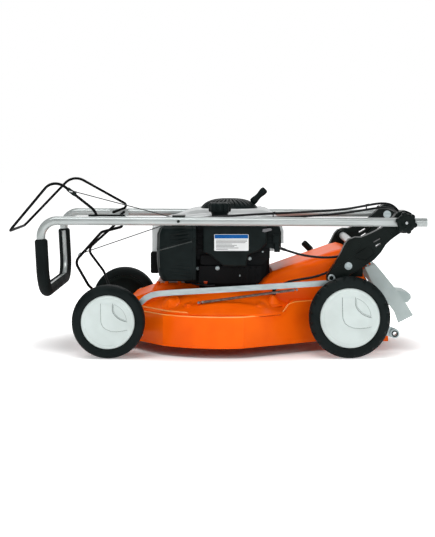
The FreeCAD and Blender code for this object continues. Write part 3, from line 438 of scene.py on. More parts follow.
def cover_relief(x, z, scale):
    """Height in millimetres of the pressed band and panel on a wheel cover."""
    outer = distance_to(BAND_OUTER, x / scale, z / scale)
    inner = distance_to(BAND_INNER, x / scale, z / scale)
    reach = np.hypot(x, z) / scale
    inside = soft_step(outer, -0.5, 0.5) * soft_step(-inner, -0.6, 0.6)
    ends = 1 - soft_step(x / scale, 44, 58)
    top = 1 - soft_step(z / scale, 46, 55)
    band = 2.6 * inside * ends * top
    panel = soft_step(inner, 2.0, 3.4) * (1 - soft_step(reach, 50.5, 52.5))
    return band - 0.9 * panel


def wheel_cover(name):
    """Pale cover with a turned edge and a raised curved band whose steep walls carry painted shade."""
    low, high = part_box("cover_" + name)
    side = 1 if low.y > 0 else -1
    radius = (high.x - low.x) / 2
    scale = radius / (COVER_R * MM)
    centre = Vector(((low.x + high.x) / 2, 0, (low.z + high.z) / 2))
    edge = [(0.9, 239.6), (1.0, 239.6), (1.0, 242.0), (0.985, 244.2), (0.955, COVER_FACE),
            (0.93, 247.9), (0.905, 247.6), (0.885, COVER_FACE)]
    shares = list(np.linspace(0.868, 0.012, 78))
    segments = 360
    build = bmesh.new()
    rings = []
    angles = np.arange(segments) * 2 * math.pi / segments
    for share, depth in edge + [(share, None) for share in shares]:
        x = share * radius * np.cos(angles)
        z = share * radius * np.sin(angles)
        if depth is None:
            lift = cover_relief(x / MM, z / MM, scale)
            fade = soft_step(1 - share, 0.132, 0.16)
            y = COVER_FACE + 0.6 * soft_step(1 - share, 0.132, 0.18) + lift * fade
        else:
            y = np.full(segments, depth)
        ring = [build.verts.new((centre.x + x[n], side * y[n] * MM, centre.z + z[n]))
                for n in range(segments)]
        rings.append(ring)
    for near, far in zip(rings, rings[1:]):
        join_rings(build, near, far)
    build.faces.new(rings[-1])
    build.faces.new(rings[0][::-1])
    build.normal_update()
    # Faces on the steep walls of the relief take the darker grey: painted shade along the band's edges.
    for face in build.faces:
        middle = face.calc_center_median()
        reach = math.hypot(middle.x - centre.x, middle.z - centre.z)
        if reach < 0.86 * radius and abs(face.normal.y) < 0.86:
            face.material_index = 1
    obj = piece("cover_skin_" + name, build, [GREY, COVER_PAINTED_SHADE], "wheel_" + name, 50)
    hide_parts("cover_" + name)


def wheels():
    """Tyre skins and covers of the four wheels."""
    for name in WHEELS:
        tyre(name, name.startswith("rear"))
        wheel_cover(name)


# ------------------------------------------------------------ deck trim

DECK_X = 22.0
SKIRT_R = 242.0
FACET_R = 237.0
FACET_TURNS = (140.0, 220.0)
LEDGE_Z = 102.0
HAUNCH_Z = 130.0
SPRING_Y = -189.4


def skirt_radius(turn):
    """Radius of the deck's skirt at a turn in degrees, with its two flat facets."""
    flats = [FACET_R / math.cos(math.radians(turn - facet)) for facet in FACET_TURNS
             if abs(turn - facet) < 60]
    return min([SKIRT_R] + flats)


def skirt_point(turn, z, inset):
    """Point on the skirt at a turn in degrees, set in by some millimetres."""
    angle = math.radians(turn)
    r = skirt_radius(turn) - inset
    return at(DECK_X + r * math.cos(angle), r * math.sin(angle), z)


def flank_point(share, side, z, inset):
    """Point on the straight flank between the skirt's arc and the tunnel."""
    start = skirt_point(78.0, z, inset)
    end = at(262.0, 124.0 - inset, z)
    spot = start.lerp(end, share)
    spot.y *= side
    return spot


def deck_beads():
    """Rolled bead along the ledge, up the haunches, and the hem round the skirt; the ledge and brow beads
    carry a painted highlight in lighter orange.
    """
    build = bmesh.new()
    hem = [skirt_point(78 + 204 * n / 120, 26.0, 0.4) for n in range(121)]
    sweep(build, hem, 1.9, 8)
    # The brows and the ledge take the lighter orange, material 1: painted highlight.
    for first in (112, 202):
        brow = [skirt_point(first + 46 * n / 40, 111.0 - 0.05 * n, 11.0) for n in range(41)]
        sweep(build, brow, 2.2, 8, 1)
    ledge = [skirt_point(78 + 204 * n / 120, LEDGE_Z - 0.6, 1.1) for n in range(121)]
    for side in (1, -1):
        run = [flank_point(0.04 * n, side, LEDGE_Z - 0.6, 1.1) for n in range(1, 13)]
        rise = [flank_point(0.50 + 0.02 * n, side, LEDGE_Z + 4.6 * n, 1.6)
                for n in range(1, 6)]
        top = [flank_point(0.62 + 0.06 * n, side, HAUNCH_Z - 0.8, 1.4) for n in range(1, 6)]
        arm = run + rise + top
        ledge = arm[::-1] + ledge if side > 0 else ledge + arm
    sweep(build, ledge, 1.7, 8, 1)
    piece("deck_beads", build, [ORANGE, PAINTED_HIGHLIGHT_ORANGE], "chassis", 60)


def pressed_boss(build, centre, normal, radius, height):
    """Low pressed dome whose foot runs out into the sheet."""
    steps = 14
    profile = []
    for step in range(steps + 1):
        share = 1 - step / steps
        rise = 0.5 + 0.5 * math.cos(math.pi * share)
        profile.append((radius * share, height * rise - 1.0))
    profile.insert(0, (radius, -4))
    lathe(build, profile, centre, normal, 40)


def deck_bosses():
    """Pressed bosses, nuts on the nose, the drive cable's gland and the spring's posts."""
    build = bmesh.new()
    for side in (1, -1):
        pressed_boss(build, (-110, side * 158, 126), (-0.30, side * 0.62, 0.72), 24, 13)
        pressed_boss(build, (-64, side * 182, 122.0), (-0.15, side * 0.62, 0.76), 17, 8)
        for x in (-146, -124, -92):
            hex_head(build, (x, side * 76, 165.0), (0, 0, 1), 9.0, 7.0)
    pressed_boss(build, (147, -145, 122), (0, 0, 1), 24, 26)
    pressed_boss(build, (112, -178, 121), (0.1, -0.6, 0.78), 26, 7)
    piece("deck_bosses", build, [ORANGE], "chassis", 60)
    gland = bmesh.new()
    lathe(gland, [(0, 0), (6.6, 0), (6.6, 5), (5.0, 7), (4.2, 13), (0, 13)],
          (148.4, -145.7, 146.5), (0.14, -0.02, 1), 32)
    obj = piece("drive_cable_gland", gland, [BLACK], "chassis", 40)
    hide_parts("cable_gland")
    posts = bmesh.new()
    sweep(posts, [at(-39, -186.5, 131), at(-39, -193, 131)], 3.2, 14)
    sweep(posts, [at(205, -183.5, 163.5), at(205, -193, 163.5)], 3.0, 14)
    sweep(posts, [at(-42, -170, 118), at(-40, -186, 128), at(-39, -188, 132)], 4.0, 12, 1)
    sweep(posts, [at(206, -150, 160), at(205, -176, 163), at(205, -186, 163.5)], 3.4, 12, 1)
    piece("spring_posts", posts, [STEEL, ORANGE], "chassis", 40)


def height_field(name, xs, ys, height, floor_z, mat):
    """Smooth pressing over a grid, closed down to a floor height in millimetres."""
    build = bmesh.new()
    grid = [[build.verts.new(at(x, y, height(x, y))) for y in ys] for x in xs]
    for low_line, high_line in zip(grid, grid[1:]):
        for n in range(len(ys) - 1):
            build.faces.new((low_line[n], high_line[n], high_line[n + 1], low_line[n + 1]))
    border = [line[0] for line in grid] + grid[-1][1:]
    border += [line[-1] for line in grid[-2::-1]] + grid[0][-2:0:-1]
    foot = [build.verts.new((v.co.x, v.co.y, min(v.co.z - 0.001, floor_z * MM)))
            for v in border]
    join_rings(build, border, foot)
    build.faces.new(foot)
    piece(name, build, [mat], "chassis", 50)


def engine_seat():
    """Raised orange pressing under the cylinder, with a ramp on every side."""
    def height(x, y):
        """Height of the sheet, with its ramps to the sides and the front."""
        side_ramp = 1 - soft_step(abs(y), 74, 93)
        front_ramp = soft_step(x, -166, -148)
        nose_fall = 0.25 * max(0.0, -153 - x)
        return 150.5 - nose_fall + 17 * side_ramp * front_ramp

    xs = list(np.linspace(-168, -40, 52))
    ys = list(np.linspace(-94, 94, 76))
    height_field("engine_seat", xs, ys, height, 140, ORANGE)


def shroud_crown():
    """Raised top of the shroud round the starter's dome, sloping down to the front."""
    def height(x, y):
        """Height of the shroud's top with the crown's rise."""
        base = np.interp(x, [-128, -70, -40, 120, 148, 166], [331, 342, 346, 346, 340, 329])
        rise = soft_step(x, -124, -48) * (1 - soft_step(x, 132, 163))
        return base + 12 * rise * (1 - soft_step(abs(y), 78, 103))

    xs = list(np.linspace(-126, 164, 80))
    ys = list(np.linspace(-104, 104, 60))
    height_field("shroud_crown", xs, ys, height, 345, SHROUD)


def spring_coil():
    """Close-wound tension spring with a hook at each end."""
    start = at(-35, SPRING_Y, 131)
    end = at(201, SPRING_Y, 163)
    way = (end - start).normalized()
    length = (end - start).length
    side = way.orthogonal().normalized()
    other = way.cross(side)
    wire = 0.95
    coil = 2.9
    turns = 92
    steps = 12
    lead = 6 * MM
    points = []
    for step in range(turns * steps + 1):
        angle = 2 * math.pi * step / steps
        spot = start + way * (lead + (length - 2 * lead) * step / (turns * steps))
        points.append(spot + (side * math.cos(angle) + other * math.sin(angle)) * coil * MM)
    build = bmesh.new()
    sweep(build, points, wire, 6)
    for anchor, sign in ((start, 1), (end, -1)):
        hook = []
        for step in range(13):
            angle = math.radians(-100 + 300 * step / 12)
            centre = anchor + way * sign * 1.5 * MM
            hook.append(centre + (way * sign * math.sin(angle)
                                  + other * math.cos(angle)) * 3.0 * MM)
        sweep(build, hook, wire * 1.15, 6)
        sweep(build, [anchor + way * sign * 4 * MM, anchor + way * sign * 8 * MM],
              coil + wire, 12)
    obj = piece("assist_spring_coil", build, [SPRING], "chassis", 60)
    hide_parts("assist_spring")
    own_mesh(obj)


# ------------------------------------------------------------ engine

DOME_X = 36.0
DOME_R = 79.0
DOME_BASE_Z = 347.0
VENTS = 30
ROPE_WAY = Vector((1, 0, 1)).normalized()
GRIP_FOOT = (96.0, 0, 371.0)
CAP_PLACE = (13, -130, 0)
FILTER_LOW, FILTER_TOP = 180.2, 320.6
FILTER_REAR = -47.0
FILTER_SIDE, FILTER_BACK = -159.6, -118.4
TANK_SIDE = -165.0
PANEL_SIDE = -118.4


def dome_height(r, phase):
    """Height of the dome at a radius; phase is the place within one vent."""
    share = r / DOME_R
    slot = 1 - soft_step(abs(phase - 0.5), 0.13, 0.22)
    band = soft_step(r, 33, 35.5) * (1 - soft_step(r, 68, 71))
    groove = soft_step(r, 24, 26) * (1 - soft_step(r, 28, 31))
    return 35.8 * (1 - share ** 3) ** 0.6 - 3.4 * slot * band - 1.1 * groove


def recoil_dome():
    """Domed starter cover with radial vents and a stepped centre."""
    segments = 300
    outline = [(DOME_R - 3, 0.0), (DOME_R, 0.6), (DOME_R, 3.2)]
    outline += [(share * DOME_R, None) for share in np.linspace(0.988, 0.02, 64)]
    build = bmesh.new()
    rings = []
    for r, foot in outline:
        ring = []
        for step in range(segments):
            angle = 2 * math.pi * step / segments
            phase = (angle * VENTS / (2 * math.pi)) % 1.0
            z = max(dome_height(r, phase), 0) if foot is None else foot
            ring.append(build.verts.new(at(DOME_X + r * math.cos(angle),
                                           r * math.sin(angle), DOME_BASE_Z + z)))
        rings.append(ring)
    for near, far in zip(rings, rings[1:]):
        join_rings(build, near, far)
    build.faces.new(rings[-1])
    build.faces.new(rings[0][::-1])
    obj = piece("recoil_dome", build, [ENGINE], "chassis", 38)
    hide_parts("recoil_cover")
    guide = bmesh.new()
    lathe(guide, [(11, -9), (11.5, -3), (10.6, -0.6), (8.8, 0), (4, -0.2), (3.4, -2.4),
                  (0, -2.4)], (94.6, 0, 369.6), ROPE_WAY, 48)
    piece("rope_guide", guide, [ENGINE], "chassis", 40)


def pull_grip():
    """Starter grip with a waist and a wider end."""
    profile = [(0, 0.2), (6.5, 0.4), (9.0, 2.2), (9.9, 6.0), (9.4, 11.0), (8.3, 17.0),
               (7.6, 23.0), (7.9, 29.0), (8.9, 34.0), (9.7, 39.0), (9.8, 44.0),
               (8.6, 48.4), (6.0, 50.2), (0, 50.6)]

    def oval(r, height, angle):
        """Radius of a slightly flattened section."""
        return r * (0.88 + 0.12 * math.cos(2 * angle))

    build = bmesh.new()
    lathe(build, profile, GRIP_FOOT, ROPE_WAY, 48, oval)
    obj = piece("pull_grip", build, [ENGINE], "starter_grip", 50)
    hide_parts("starter_grip")


def pull_rope():
    """Three twisted strands from the dome's rope seat to the starter grip."""
    seat = at(88.9, 0, 363.9)
    grip = at(*GRIP_FOOT)
    way = (grip - seat).normalized()
    side = Vector((0, 1, 0))
    other = way.cross(side)
    length = (grip - seat).length
    turns = 5
    steps = 90
    build = bmesh.new()
    for strand in range(3):
        points = []
        for step in range(steps + 1):
            share = step / steps
            angle = 2 * math.pi * (turns * share + strand / 3)
            offset = side * math.cos(angle) + other * math.sin(angle)
            points.append(seat + way * length * share + offset * 1.0 * MM)
        sweep(build, points, 1.1, 8)
    obj = piece("pull_rope", build, [ROPE], None, 60)
    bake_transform(obj)
    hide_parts("starter_rope")


def lobed_cap():
    """Fuel cap with eight finger lobes and a raised rim."""
    def lobes(r, height, angle):
        """Radius with a hollow between every two lobes."""
        swing = abs(math.cos(4 * angle)) ** 0.6
        depth = 4.2 * min(1.0, r / 24)
        return r - depth * (1 - swing)

    profile = [(0, 353.2), (24.0, 353.2), (27.2, 354.2), (28.3, 357.0), (28.4, 370.0),
               (27.4, 373.6), (24.8, 376.0), (20.0, 376.9), (16.5, 375.6), (14.0, 375.2),
               (0, 375.2)]
    build = bmesh.new()
    lathe(build, profile, CAP_PLACE, (0, 0, 1), 192, lobes)
    obj = piece("lobed_fuel_cap", build, [ENGINE], "fuel_cap", 45)
    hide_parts("fuel_cap")
    collar = bmesh.new()
    lathe(collar, [(17.2, 330), (20.5, 331), (20.5, 349), (22.5, 350), (22.5, 352.6),
                   (17.2, 352.8)], CAP_PLACE, (0, 0, 1), 64)
    piece("filler_collar", collar, [ENGINE], "chassis", 40)


def filter_front(z):
    """Front outline of the air filter cover."""
    return np.interp(z, [180, 186, 200, 222, 262, 298, 313, 321],
                     [-131, -136.5, -142, -144.6, -146, -145, -139, -127])


def filter_crease(x):
    """Height of the slanting crease across the air filter cover."""
    return 257 + (x + 142) * 24 / 87


def edge_round(distance, radius):
    """How far a rounded edge falls back at a distance from the outline."""
    share = 1 - min(distance / radius, 1)
    return radius * (1 - math.sqrt(max(0.0, 1 - share ** 2)))


def filter_depth(x, z):
    """How far the air filter cover's face lies behind its foremost plane."""
    above = z - filter_crease(x)
    edge = max(edge_round(x - filter_front(z), 20), edge_round(FILTER_TOP - z, 16),
               edge_round(z - FILTER_LOW, 5))
    waves = 0.0
    if 10 < above < 34 and -112 < x < -66:
        waves = 1.1 * math.sin((z - 0.12 * (x + 142)) * 2 * math.pi / 9.0)
    if 190 < z < 222 and -112 < x < -60:
        waves = 1.1 * math.sin((z + 0.10 * (x + 142)) * 2 * math.pi / 9.0)
    step = 6.5 * soft_step(above, -1.0, 5.5)
    strip = 1.4 * soft_step(x, -56.0, -54.5)
    return min(max(edge + step + waves + strip, 0), 38)


def filter_cover():
    """Air filter cover: swept front edge, a slanting crease and shallow waves, with painted highlight
    strips along the rim and the crease.
    """
    columns = 70
    rows = 110
    build = bmesh.new()
    grid = []
    for row in range(rows + 1):
        z = FILTER_LOW + (FILTER_TOP - FILTER_LOW) * row / rows
        front = filter_front(z)
        line = []
        for column in range(columns + 1):
            x = front + (FILTER_REAR - front) * column / columns
            line.append(build.verts.new(at(x, FILTER_SIDE + filter_depth(x, z), z)))
        grid.append(line)
    for low_line, high_line in zip(grid, grid[1:]):
        for column in range(columns):
            build.faces.new((low_line[column], low_line[column + 1],
                             high_line[column + 1], high_line[column]))
    # Thin strips along the rounded rim and beside the crease take the lighter black: painted highlight.
    for face in build.faces:
        x, y, z = face.calc_center_median() / MM
        inward = x - filter_front(z)
        rim_highlight = 4.6 < inward < 7.0 and 215 < z < 317
        crease_highlight = -1.2 < z - filter_crease(x) < 1.6 and inward > 7.0 and x < -57
        if y < -140 and (rim_highlight or crease_highlight):
            face.material_index = 1
    border = grid[0] + [line[-1] for line in grid[1:]]
    border += grid[-1][-2::-1] + [line[0] for line in grid[-2:0:-1]]
    back = [build.verts.new((v.co.x, FILTER_BACK * MM, v.co.z)) for v in border]
    join_rings(build, border, back)
    build.faces.new(back)
    obj = piece("filter_cover", build, [ENGINE, ENGINE_PAINTED_HIGHLIGHT], "chassis", 35)
    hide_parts("air_filter_cover")


def plate_outline(x0, x1, z0, z1, corner, steps=6):
    """Rounded rectangle of (x, z) points."""
    points = []
    for cx, cz, first in ((x1 - corner, z1 - corner, 0), (x0 + corner, z1 - corner, 90),
                          (x0 + corner, z0 + corner, 180), (x1 - corner, z0 + corner, 270)):
        for step in range(steps + 1):
            angle = math.radians(first + 90 * step / steps)
            points.append((cx + corner * math.cos(angle), cz + corner * math.sin(angle)))
    return points


def plate(build, outline, y_back, y_front, mat=0):
    """Flat plate with a small bevel round its front."""
    middle_x = sum(p[0] for p in outline) / len(outline)
    middle_z = sum(p[1] for p in outline) / len(outline)
    bevel = 0.25 * abs(y_front - y_back)
    rings = []
    for y, inset in ((y_back, 0.0), (y_front + math.copysign(bevel, y_back - y_front), 0.0),
                     (y_front, bevel)):
        ring = []
        for x, z in outline:
            away = math.hypot(x - middle_x, z - middle_z)
            share = 1 - inset / away
            ring.append(build.verts.new(at(middle_x + (x - middle_x) * share, y,
                                           middle_z + (z - middle_z) * share)))
        rings.append(ring)
    for near, far in zip(rings, rings[1:]):
        join_rings(build, near, far, mat)
    build.faces.new(rings[0][::-1]).material_index = mat
    build.faces.new(rings[-1]).material_index = mat


def tank_label():
    """Blank plate on the tank: white with a blue head and plain grey rules."""
    build = bmesh.new()
    face = TANK_SIDE - 0.4
    plate(build, plate_outline(-0.5, 85.5, 257.5, 299.0, 2.5), TANK_SIDE, TANK_SIDE - 0.5)
    plate(build, plate_outline(0.5, 84.5, 288.5, 298.2, 1.5), face, face - 0.3, 1)
    for row, width in enumerate((78, 78, 74, 40, 52, 46, 56, 30)):
        z = 284.6 - 3.3 * row
        rule = plate_outline(4, 4 + width, z - 0.55, z + 0.55, 0.5, 2)
        plate(build, rule, face, face - 0.22, 2)
    piece("tank_label", build, [LABEL_WHITE, LABEL_BLUE, LABEL_GREY], "chassis", 30)


def hex_head(build, centre, normal, across_flats, tall, mat=0):
    """Chamfered hexagon head on a round flange."""
    half = across_flats / 2 / math.cos(math.pi / 6)
    flange = half * 1.35
    lathe(build, [(0, 0), (flange, 0), (flange, 0.7), (half * 1.05, 1.2), (0, 1.2)],
          centre, normal, 32, mat=mat)
    lathe(build, [(half, 1.0), (half, tall - 0.7), (half * 0.86, tall), (0, tall)],
          centre, normal, 6, mat=mat)


def engine_details():
    """Bolts, governor lever, oil filler, spark lead and the crankcase's ribs."""
    bolts = bmesh.new()
    for x, y, z, wide in ((-44, -92, 206, 6.0), (7, -128, 211, 7.0), (88.6, -121, 234.5, 6.0),
                          (122, -121, 252, 3.6), (63, -128, 192, 3.6)):
        hex_head(bolts, (x, y, z), (0, -1, 0), wide, 3.6)
    obj = piece("engine_bolts", bolts, [ZINC], "chassis", 25)
    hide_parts("engine_screws")
    lever = bmesh.new()
    plate(lever, [(119, 306), (121, 312), (140, 314.5), (144, 312), (143, 308.5), (126, 304)],
          TANK_SIDE, TANK_SIDE - 2.4)
    piece("governor_lever", lever, [STEEL], "chassis", 30)
    filler = bmesh.new()
    lathe(filler, [(0, 0), (6.5, 0), (6.8, 3), (5.4, 6), (0, 6)],
          (-23, -122, 175), (0, -0.7, 0.7), 36)
    piece("oil_filler", filler, [RED], "chassis", 40)
    lead = bmesh.new()
    sweep(lead, smooth_route([(-60, -110, 172), (-48, -126, 168), (-30, -133, 170),
                              (-14, -136, 166), (0, -132, 168)]), 2.4, 10)
    piece("spark_lead", lead, [CABLE], "chassis", 50)
    fins = bmesh.new()
    for step in range(7):
        z = 178 + 5.4 * step
        plate(fins, plate_outline(-42, 8, z, z + 2.4, 0.8, 2), -90, -104)
    for step in range(5):
        x = 44 + 15 * step
        plate(fins, plate_outline(x, x + 3.2, 173, 214, 0.8, 2), -126, -132)
    piece("crankcase_ribs", fins, [CAST], "chassis", 30)


def engine_side():
    """Dark moulded panel between the shroud and the tank, with ribs and small blocks."""
    build = bmesh.new()
    plate(build, [(-62, 246), (-20, 215), (118, 215), (140, 236), (140, 300), (137, 336),
                  (-62, 336)], PANEL_SIDE, PANEL_SIDE - 2.6)
    for step in range(5):
        z = 232 + 19 * step
        plate(build, plate_outline(-45, -29, z, z + 9, 2.0, 3), -120.5, -124.0)
    plate(build, plate_outline(104, 134, 240, 248, 2.0, 3), -120.5, -124.0)
    plate(build, plate_outline(112, 137, 252, 258, 2.0, 3), -120.5, -124.0)
    plate(build, plate_outline(-38, 12, 218, 244, 5.0, 4), -118.0, -127.0)
    piece("engine_side_panel", build, [CAST], "chassis", 30)


def control_block():
    """Dark governor plate at the engine's rear with slots and the cable's anchor."""
    build = bmesh.new()
    plate(build, [(131.6, 263), (150, 259), (168.5, 263), (168.5, 300), (165, 315),
                  (156, 324), (131.6, 324)], -118.6, -123.6)
    plate(build, plate_outline(150.5, 165.5, 251.4, 276, 2.0), -119, -133.6)
    plate(build, plate_outline(147, 165, 270, 296, 3.0), -122, -129.6)
    for step in range(4):
        plate(build, plate_outline(134, 146, 270 + 8 * step, 274 + 8 * step, 1.5, 3), -123, -126)
    obj = piece("control_block", build, [ENGINE], "chassis", 30)
    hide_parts("control_bracket")


# ------------------------------------------------------------ handle and consoles

FOLD_X, FOLD_Z = 471.5, 331.5
KNOB_FOOT_Y = 216.5
CABLE_LANE = -183.5
JACKET_R = 3.0
INSIDE_CLIP = 23.0
CONSOLE_Y = 189.2


def star_knob(side_name, side):
    """Moulded star knob with a dished face and a metal centre."""
    profile = [(0, 0), (13.0, 0), (13.0, 2.6), (19.0, 3.2), (25.2, 4.2), (27.1, 6.2),
               (27.4, 9.5), (27.4, 16.5), (26.6, 20.4), (24.0, 22.4), (19.0, 22.9),
               (10.5, 22.2), (9.4, 21.0), (4.6, 20.7), (0, 20.7)]

    def star(r, height, angle):
        """Radius with a hollow between every two of six points."""
        if height < 3.0:
            return r
        lobe = max(0.0, math.cos(6 * (angle - 0.26)))
        reach = min(1.0, max(0.0, (r - 11) / 12))
        return r - reach * 4.6 * (1 - lobe ** 0.55)

    centre = (FOLD_X, side * KNOB_FOOT_Y, FOLD_Z)
    build = bmesh.new()
    lathe(build, profile, centre, (0, side, 0), 180, star)
    lathe(build, [(0, 20.4), (3.4, 20.5), (3.2, 21.6), (0, 22.2)],
          centre, (0, side, 0), 24, mat=1)
    obj = piece("star_knob_" + side_name, build, [BLACK, PALE], "knob_" + side_name, 42)
    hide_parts("knob_" + side_name)


def console_bolts():
    """Hexagon bolts on washers on both consoles, and the lower rings."""
    face = CONSOLE_Y + 0.8
    build = bmesh.new()
    for side in (-1, 1):
        lathe(build, [(0, 0), (9.4, 0), (9.4, 1.1), (0, 1.1)],
              (333, side * face, 222), (0, side, 0), 40)
        hex_head(build, (333, side * (face + 1), 222), (0, side, 0), 10.0, 2.4)
    lathe(build, [(5.2, 0), (9.2, 0), (9.2, 2.0), (8.2, 2.8), (6.2, 2.8), (5.2, 2.0), (5.2, 0)],
          (291, -face, 192), (0, -1, 0), 40)
    lathe(build, [(0, 0), (5.0, 0), (5.0, 1.2), (0, 1.6)], (291, -face, 192), (0, -1, 0), 28,
          mat=1)
    lathe(build, [(0, 0), (4, 0), (4, 4.6), (7, 4.8), (7, 6.2), (5.8, 6.9), (0, 6.9)],
          (300, face, 190), (0, 1, 0), 32)
    obj = piece("console_bolts", build, [ZINC, BLACK], "chassis", 25)
    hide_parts("chassis_bolts")


def console_details():
    """Raised rims, a ring and three small hooks moulded on both consoles."""
    rim = [(282, 200), (309, 241), (317, 256), (327, 277), (336, 287), (351, 292)]
    low_rim = [(302, 180), (340, 203), (374, 224), (397, 240), (413, 258), (425, 277),
               (442, 292), (461, 305)]
    build = bmesh.new()
    for side in (-1, 1):
        y = side * CONSOLE_Y
        for outline in (rim, low_rim):
            sweep(build, smooth_route([(x, y, z) for x, z in outline]), 1.6, 8)
        lathe(build, [(14, 0), (16.5, 0), (16.5, 1.6), (14, 1.6), (14, 0)],
              (348, y + side * 0.4, 274), (0, side, 0), 40)
        for step in range(3):
            x = 405 + 11 * step
            z = 296 + 7 * step
            hook_y = y + side * 0.2
            hook = [(x, hook_y, z), (x + 5, hook_y, z - 5), (x + 12, hook_y, z - 3)]
            sweep(build, smooth_route(hook), 1.1, 6)
    piece("console_rims", build, [BLACK], "chassis", 50)


def cable_pieces():
    """Jacketed control cables, on the handle above the fold and on the chassis below."""
    routes = {
        "drive_cable_upper": ("handle", [
            (-72.5, -178, 338), (-20, -181, 342), (40, CABLE_LANE, 346), (110, CABLE_LANE, 350.5),
            (190, CABLE_LANE, 354), (265, CABLE_LANE, 358), (330, CABLE_LANE, 363), (378, CABLE_LANE, 372),
            (415, -176, 378), (444, -160, 374), (464, -149, 356), (FOLD_X, -146, FOLD_Z),
            (FOLD_X, -128, FOLD_Z)]),
        "drive_cable_lower": ("chassis", [
            (FOLD_X, -128, FOLD_Z), (FOLD_X, -112, FOLD_Z), (464, -108, 308),
            (440, -116, 284), (408, -132, 262), (372, -143, 248), (336, -146, 230),
            (298, -147, 207), (256, -149, 191), (212, -150, 184), (174, -149, 176),
            (150, -146, 158)]),
        "stop_cable_upper": ("handle", [
            (-72.5, -170, 334), (-20, -178, 335), (40, CABLE_LANE, 337), (105, CABLE_LANE, 340),
            (170, CABLE_LANE, 342.5), (240, CABLE_LANE, 346), (305, CABLE_LANE, 351),
            (356, CABLE_LANE, 358), (394, -178, 364), (424, -158, 366), (448, -132, 362),
            (464, -108, 350), (FOLD_X, -98, FOLD_Z), (FOLD_X, -82, FOLD_Z)]),
        "stop_cable_lower": ("chassis", [
            (FOLD_X, -82, FOLD_Z), (FOLD_X, -66, FOLD_Z), (466, -62, 312), (446, -74, 294),
            (416, -98, 282), (385, -122, 270), (350, -140, 252), (312, -144, 240.5),
            (270, -143, 238.5), (228, -138, 243), (196, -130, 251), (166, -126, 261)]),
    }
    for name, (body, places) in routes.items():
        build = bmesh.new()
        points = smooth_route(places)
        sweep(build, points, JACKET_R, 12)
        if name.endswith("upper"):
            start = points[0]
            way = (points[4] - points[0]).normalized()
            sweep(build, [start, start + way * 9 * MM, start + way * 10 * MM], 3.6, 14)
        if name == "stop_cable_lower":
            end = points[-1]
            way = (points[-5] - end).normalized()
            sweep(build, [end, end + way * 13 * MM, end + way * 14 * MM], 3.8, 14)
        obj = piece(name + "_jacket", build, [CABLE], body, 50)
        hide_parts(name)
    ties = bmesh.new()
    for x, low_z, high_z in ((146, 338.4, 355.6), (378, 359.5, 375.2)):
        loop = []
        middle = (low_z + high_z) / 2
        half = (high_z - low_z) / 2
        for step in range(25):
            angle = 2 * math.pi * step / 24
            loop.append(at(x + (0.4 if step % 24 else 0), CABLE_LANE + 4.4 * math.sin(angle),
                           middle + half * math.cos(angle)))
        sweep(ties, loop, 1.2, 8)
        sweep(ties, [at(x - 3, -187.6, high_z - 4), at(x + 6, -188.2, high_z + 0.5)], 2.0, 8)
    piece("cable_ties", ties, [CABLE], "handle", 50)


def bail_fittings():
    """Sleeve and nipple on the drive bail, small hook on the stop bail."""
    sleeve = bmesh.new()
    centre = at(-355, -186, 406.0)
    way = Vector((-0.785, 0, 0.619))
    points = [centre + way * d * MM for d in (-13, -12, -9, 9, 12, 13)]
    sweep(sleeve, points, [4.0, 4.9, 5.3, 5.3, 4.9, 4.0], 18)
    sweep(sleeve, [centre + Vector((0, 5, 0)) * MM, centre + Vector((0, 10, 2)) * MM], 1.8, 10)
    sweep(sleeve, [centre + Vector((-5, -5.2, 2)) * MM, centre + Vector((3, -5.6, 0)) * MM],
          1.5, 10, 1)
    obj = piece("drive_bail_sleeve", sleeve, [BLACK, PALE], "drive_bail", 45)
    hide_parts("drive_bail_clamp")
    hook = bmesh.new()
    spot = at(-335, -178, 247.5)
    loop = []
    for step in range(19):
        angle = math.radians(-40 + 290 * step / 18)
        loop.append(spot + Vector((4.6 * math.cos(angle), 0.5 * math.sin(angle),
                                   4.6 * math.sin(angle))) * MM)
    sweep(hook, loop, 1.1, 10)
    sweep(hook, [spot + Vector((1, 4, 1)) * MM, spot + Vector((3, 9, 3)) * MM], 1.6, 10)
    obj = piece("stop_bail_eye", hook, [ZINC], "stop_bail", 45)
    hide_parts("stop_bail_hook")


def bare_wires():
    """Bare inner wires from the bails to the clip, each with its eye."""
    for name, hook, mouth, lane in (("drive_wire", (-355, 408.0), (-104, 342), 178),
                                    ("stop_wire", (-335, 250.6), (-104, 330), 170)):
        start = at(hook[0], -lane, hook[1])
        run = at(mouth[0], -lane, mouth[1]) - start
        way = run.normalized()
        length = run.length + INSIDE_CLIP * MM
        build = bmesh.new()
        sweep(build, [start + way * 3 * MM, start + way * length], 1.25, 10)
        sweep(build, [start + way * 3 * MM, start + way * 12 * MM], 1.9, 12)
        eye = []
        for step in range(17):
            angle = 2 * math.pi * step / 17
            eye.append(start + Vector((math.cos(angle), 0, math.sin(angle))) * 2.6 * MM)
        sweep(build, eye + [eye[0]], 0.9, 8)
        obj = piece(name + "_strand", build, [STRAND], name, 50)
        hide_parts(name)


def grip_ends():
    """Tapered ends of the foam grip."""
    build = bmesh.new()
    for side in (-1, 1):
        rings = lathe(build, [(11.1, 0), (16.0, 0), (15.6, 1.6), (12.6, 5.0), (11.1, 5.2)],
                      (-427.6, side * 205, 284.6), (-9.9, 0, 177.8), 48)
        join_rings(build, rings[-1], rings[0])
    piece("grip_ends", build, [FOAM], "handle", 40)


# ------------------------------------------------------------ stage, light, camera

def area_light(name, place, target, size, power):
    """Rectangular lamp aimed at a target, in metres and watts."""
    light = bpy.data.lights.new(name, "AREA")
    light.shape = "RECTANGLE"
    light.size = size[0]
    light.size_y = size[1]
    light.energy = power
    lamp = bpy.data.objects.new(name, light)
    lamp.location = place
    lamp.rotation_euler = (Vector(target) - Vector(place)).to_track_quat("-Z", "Y").to_euler()
    bpy.context.collection.objects.link(lamp)


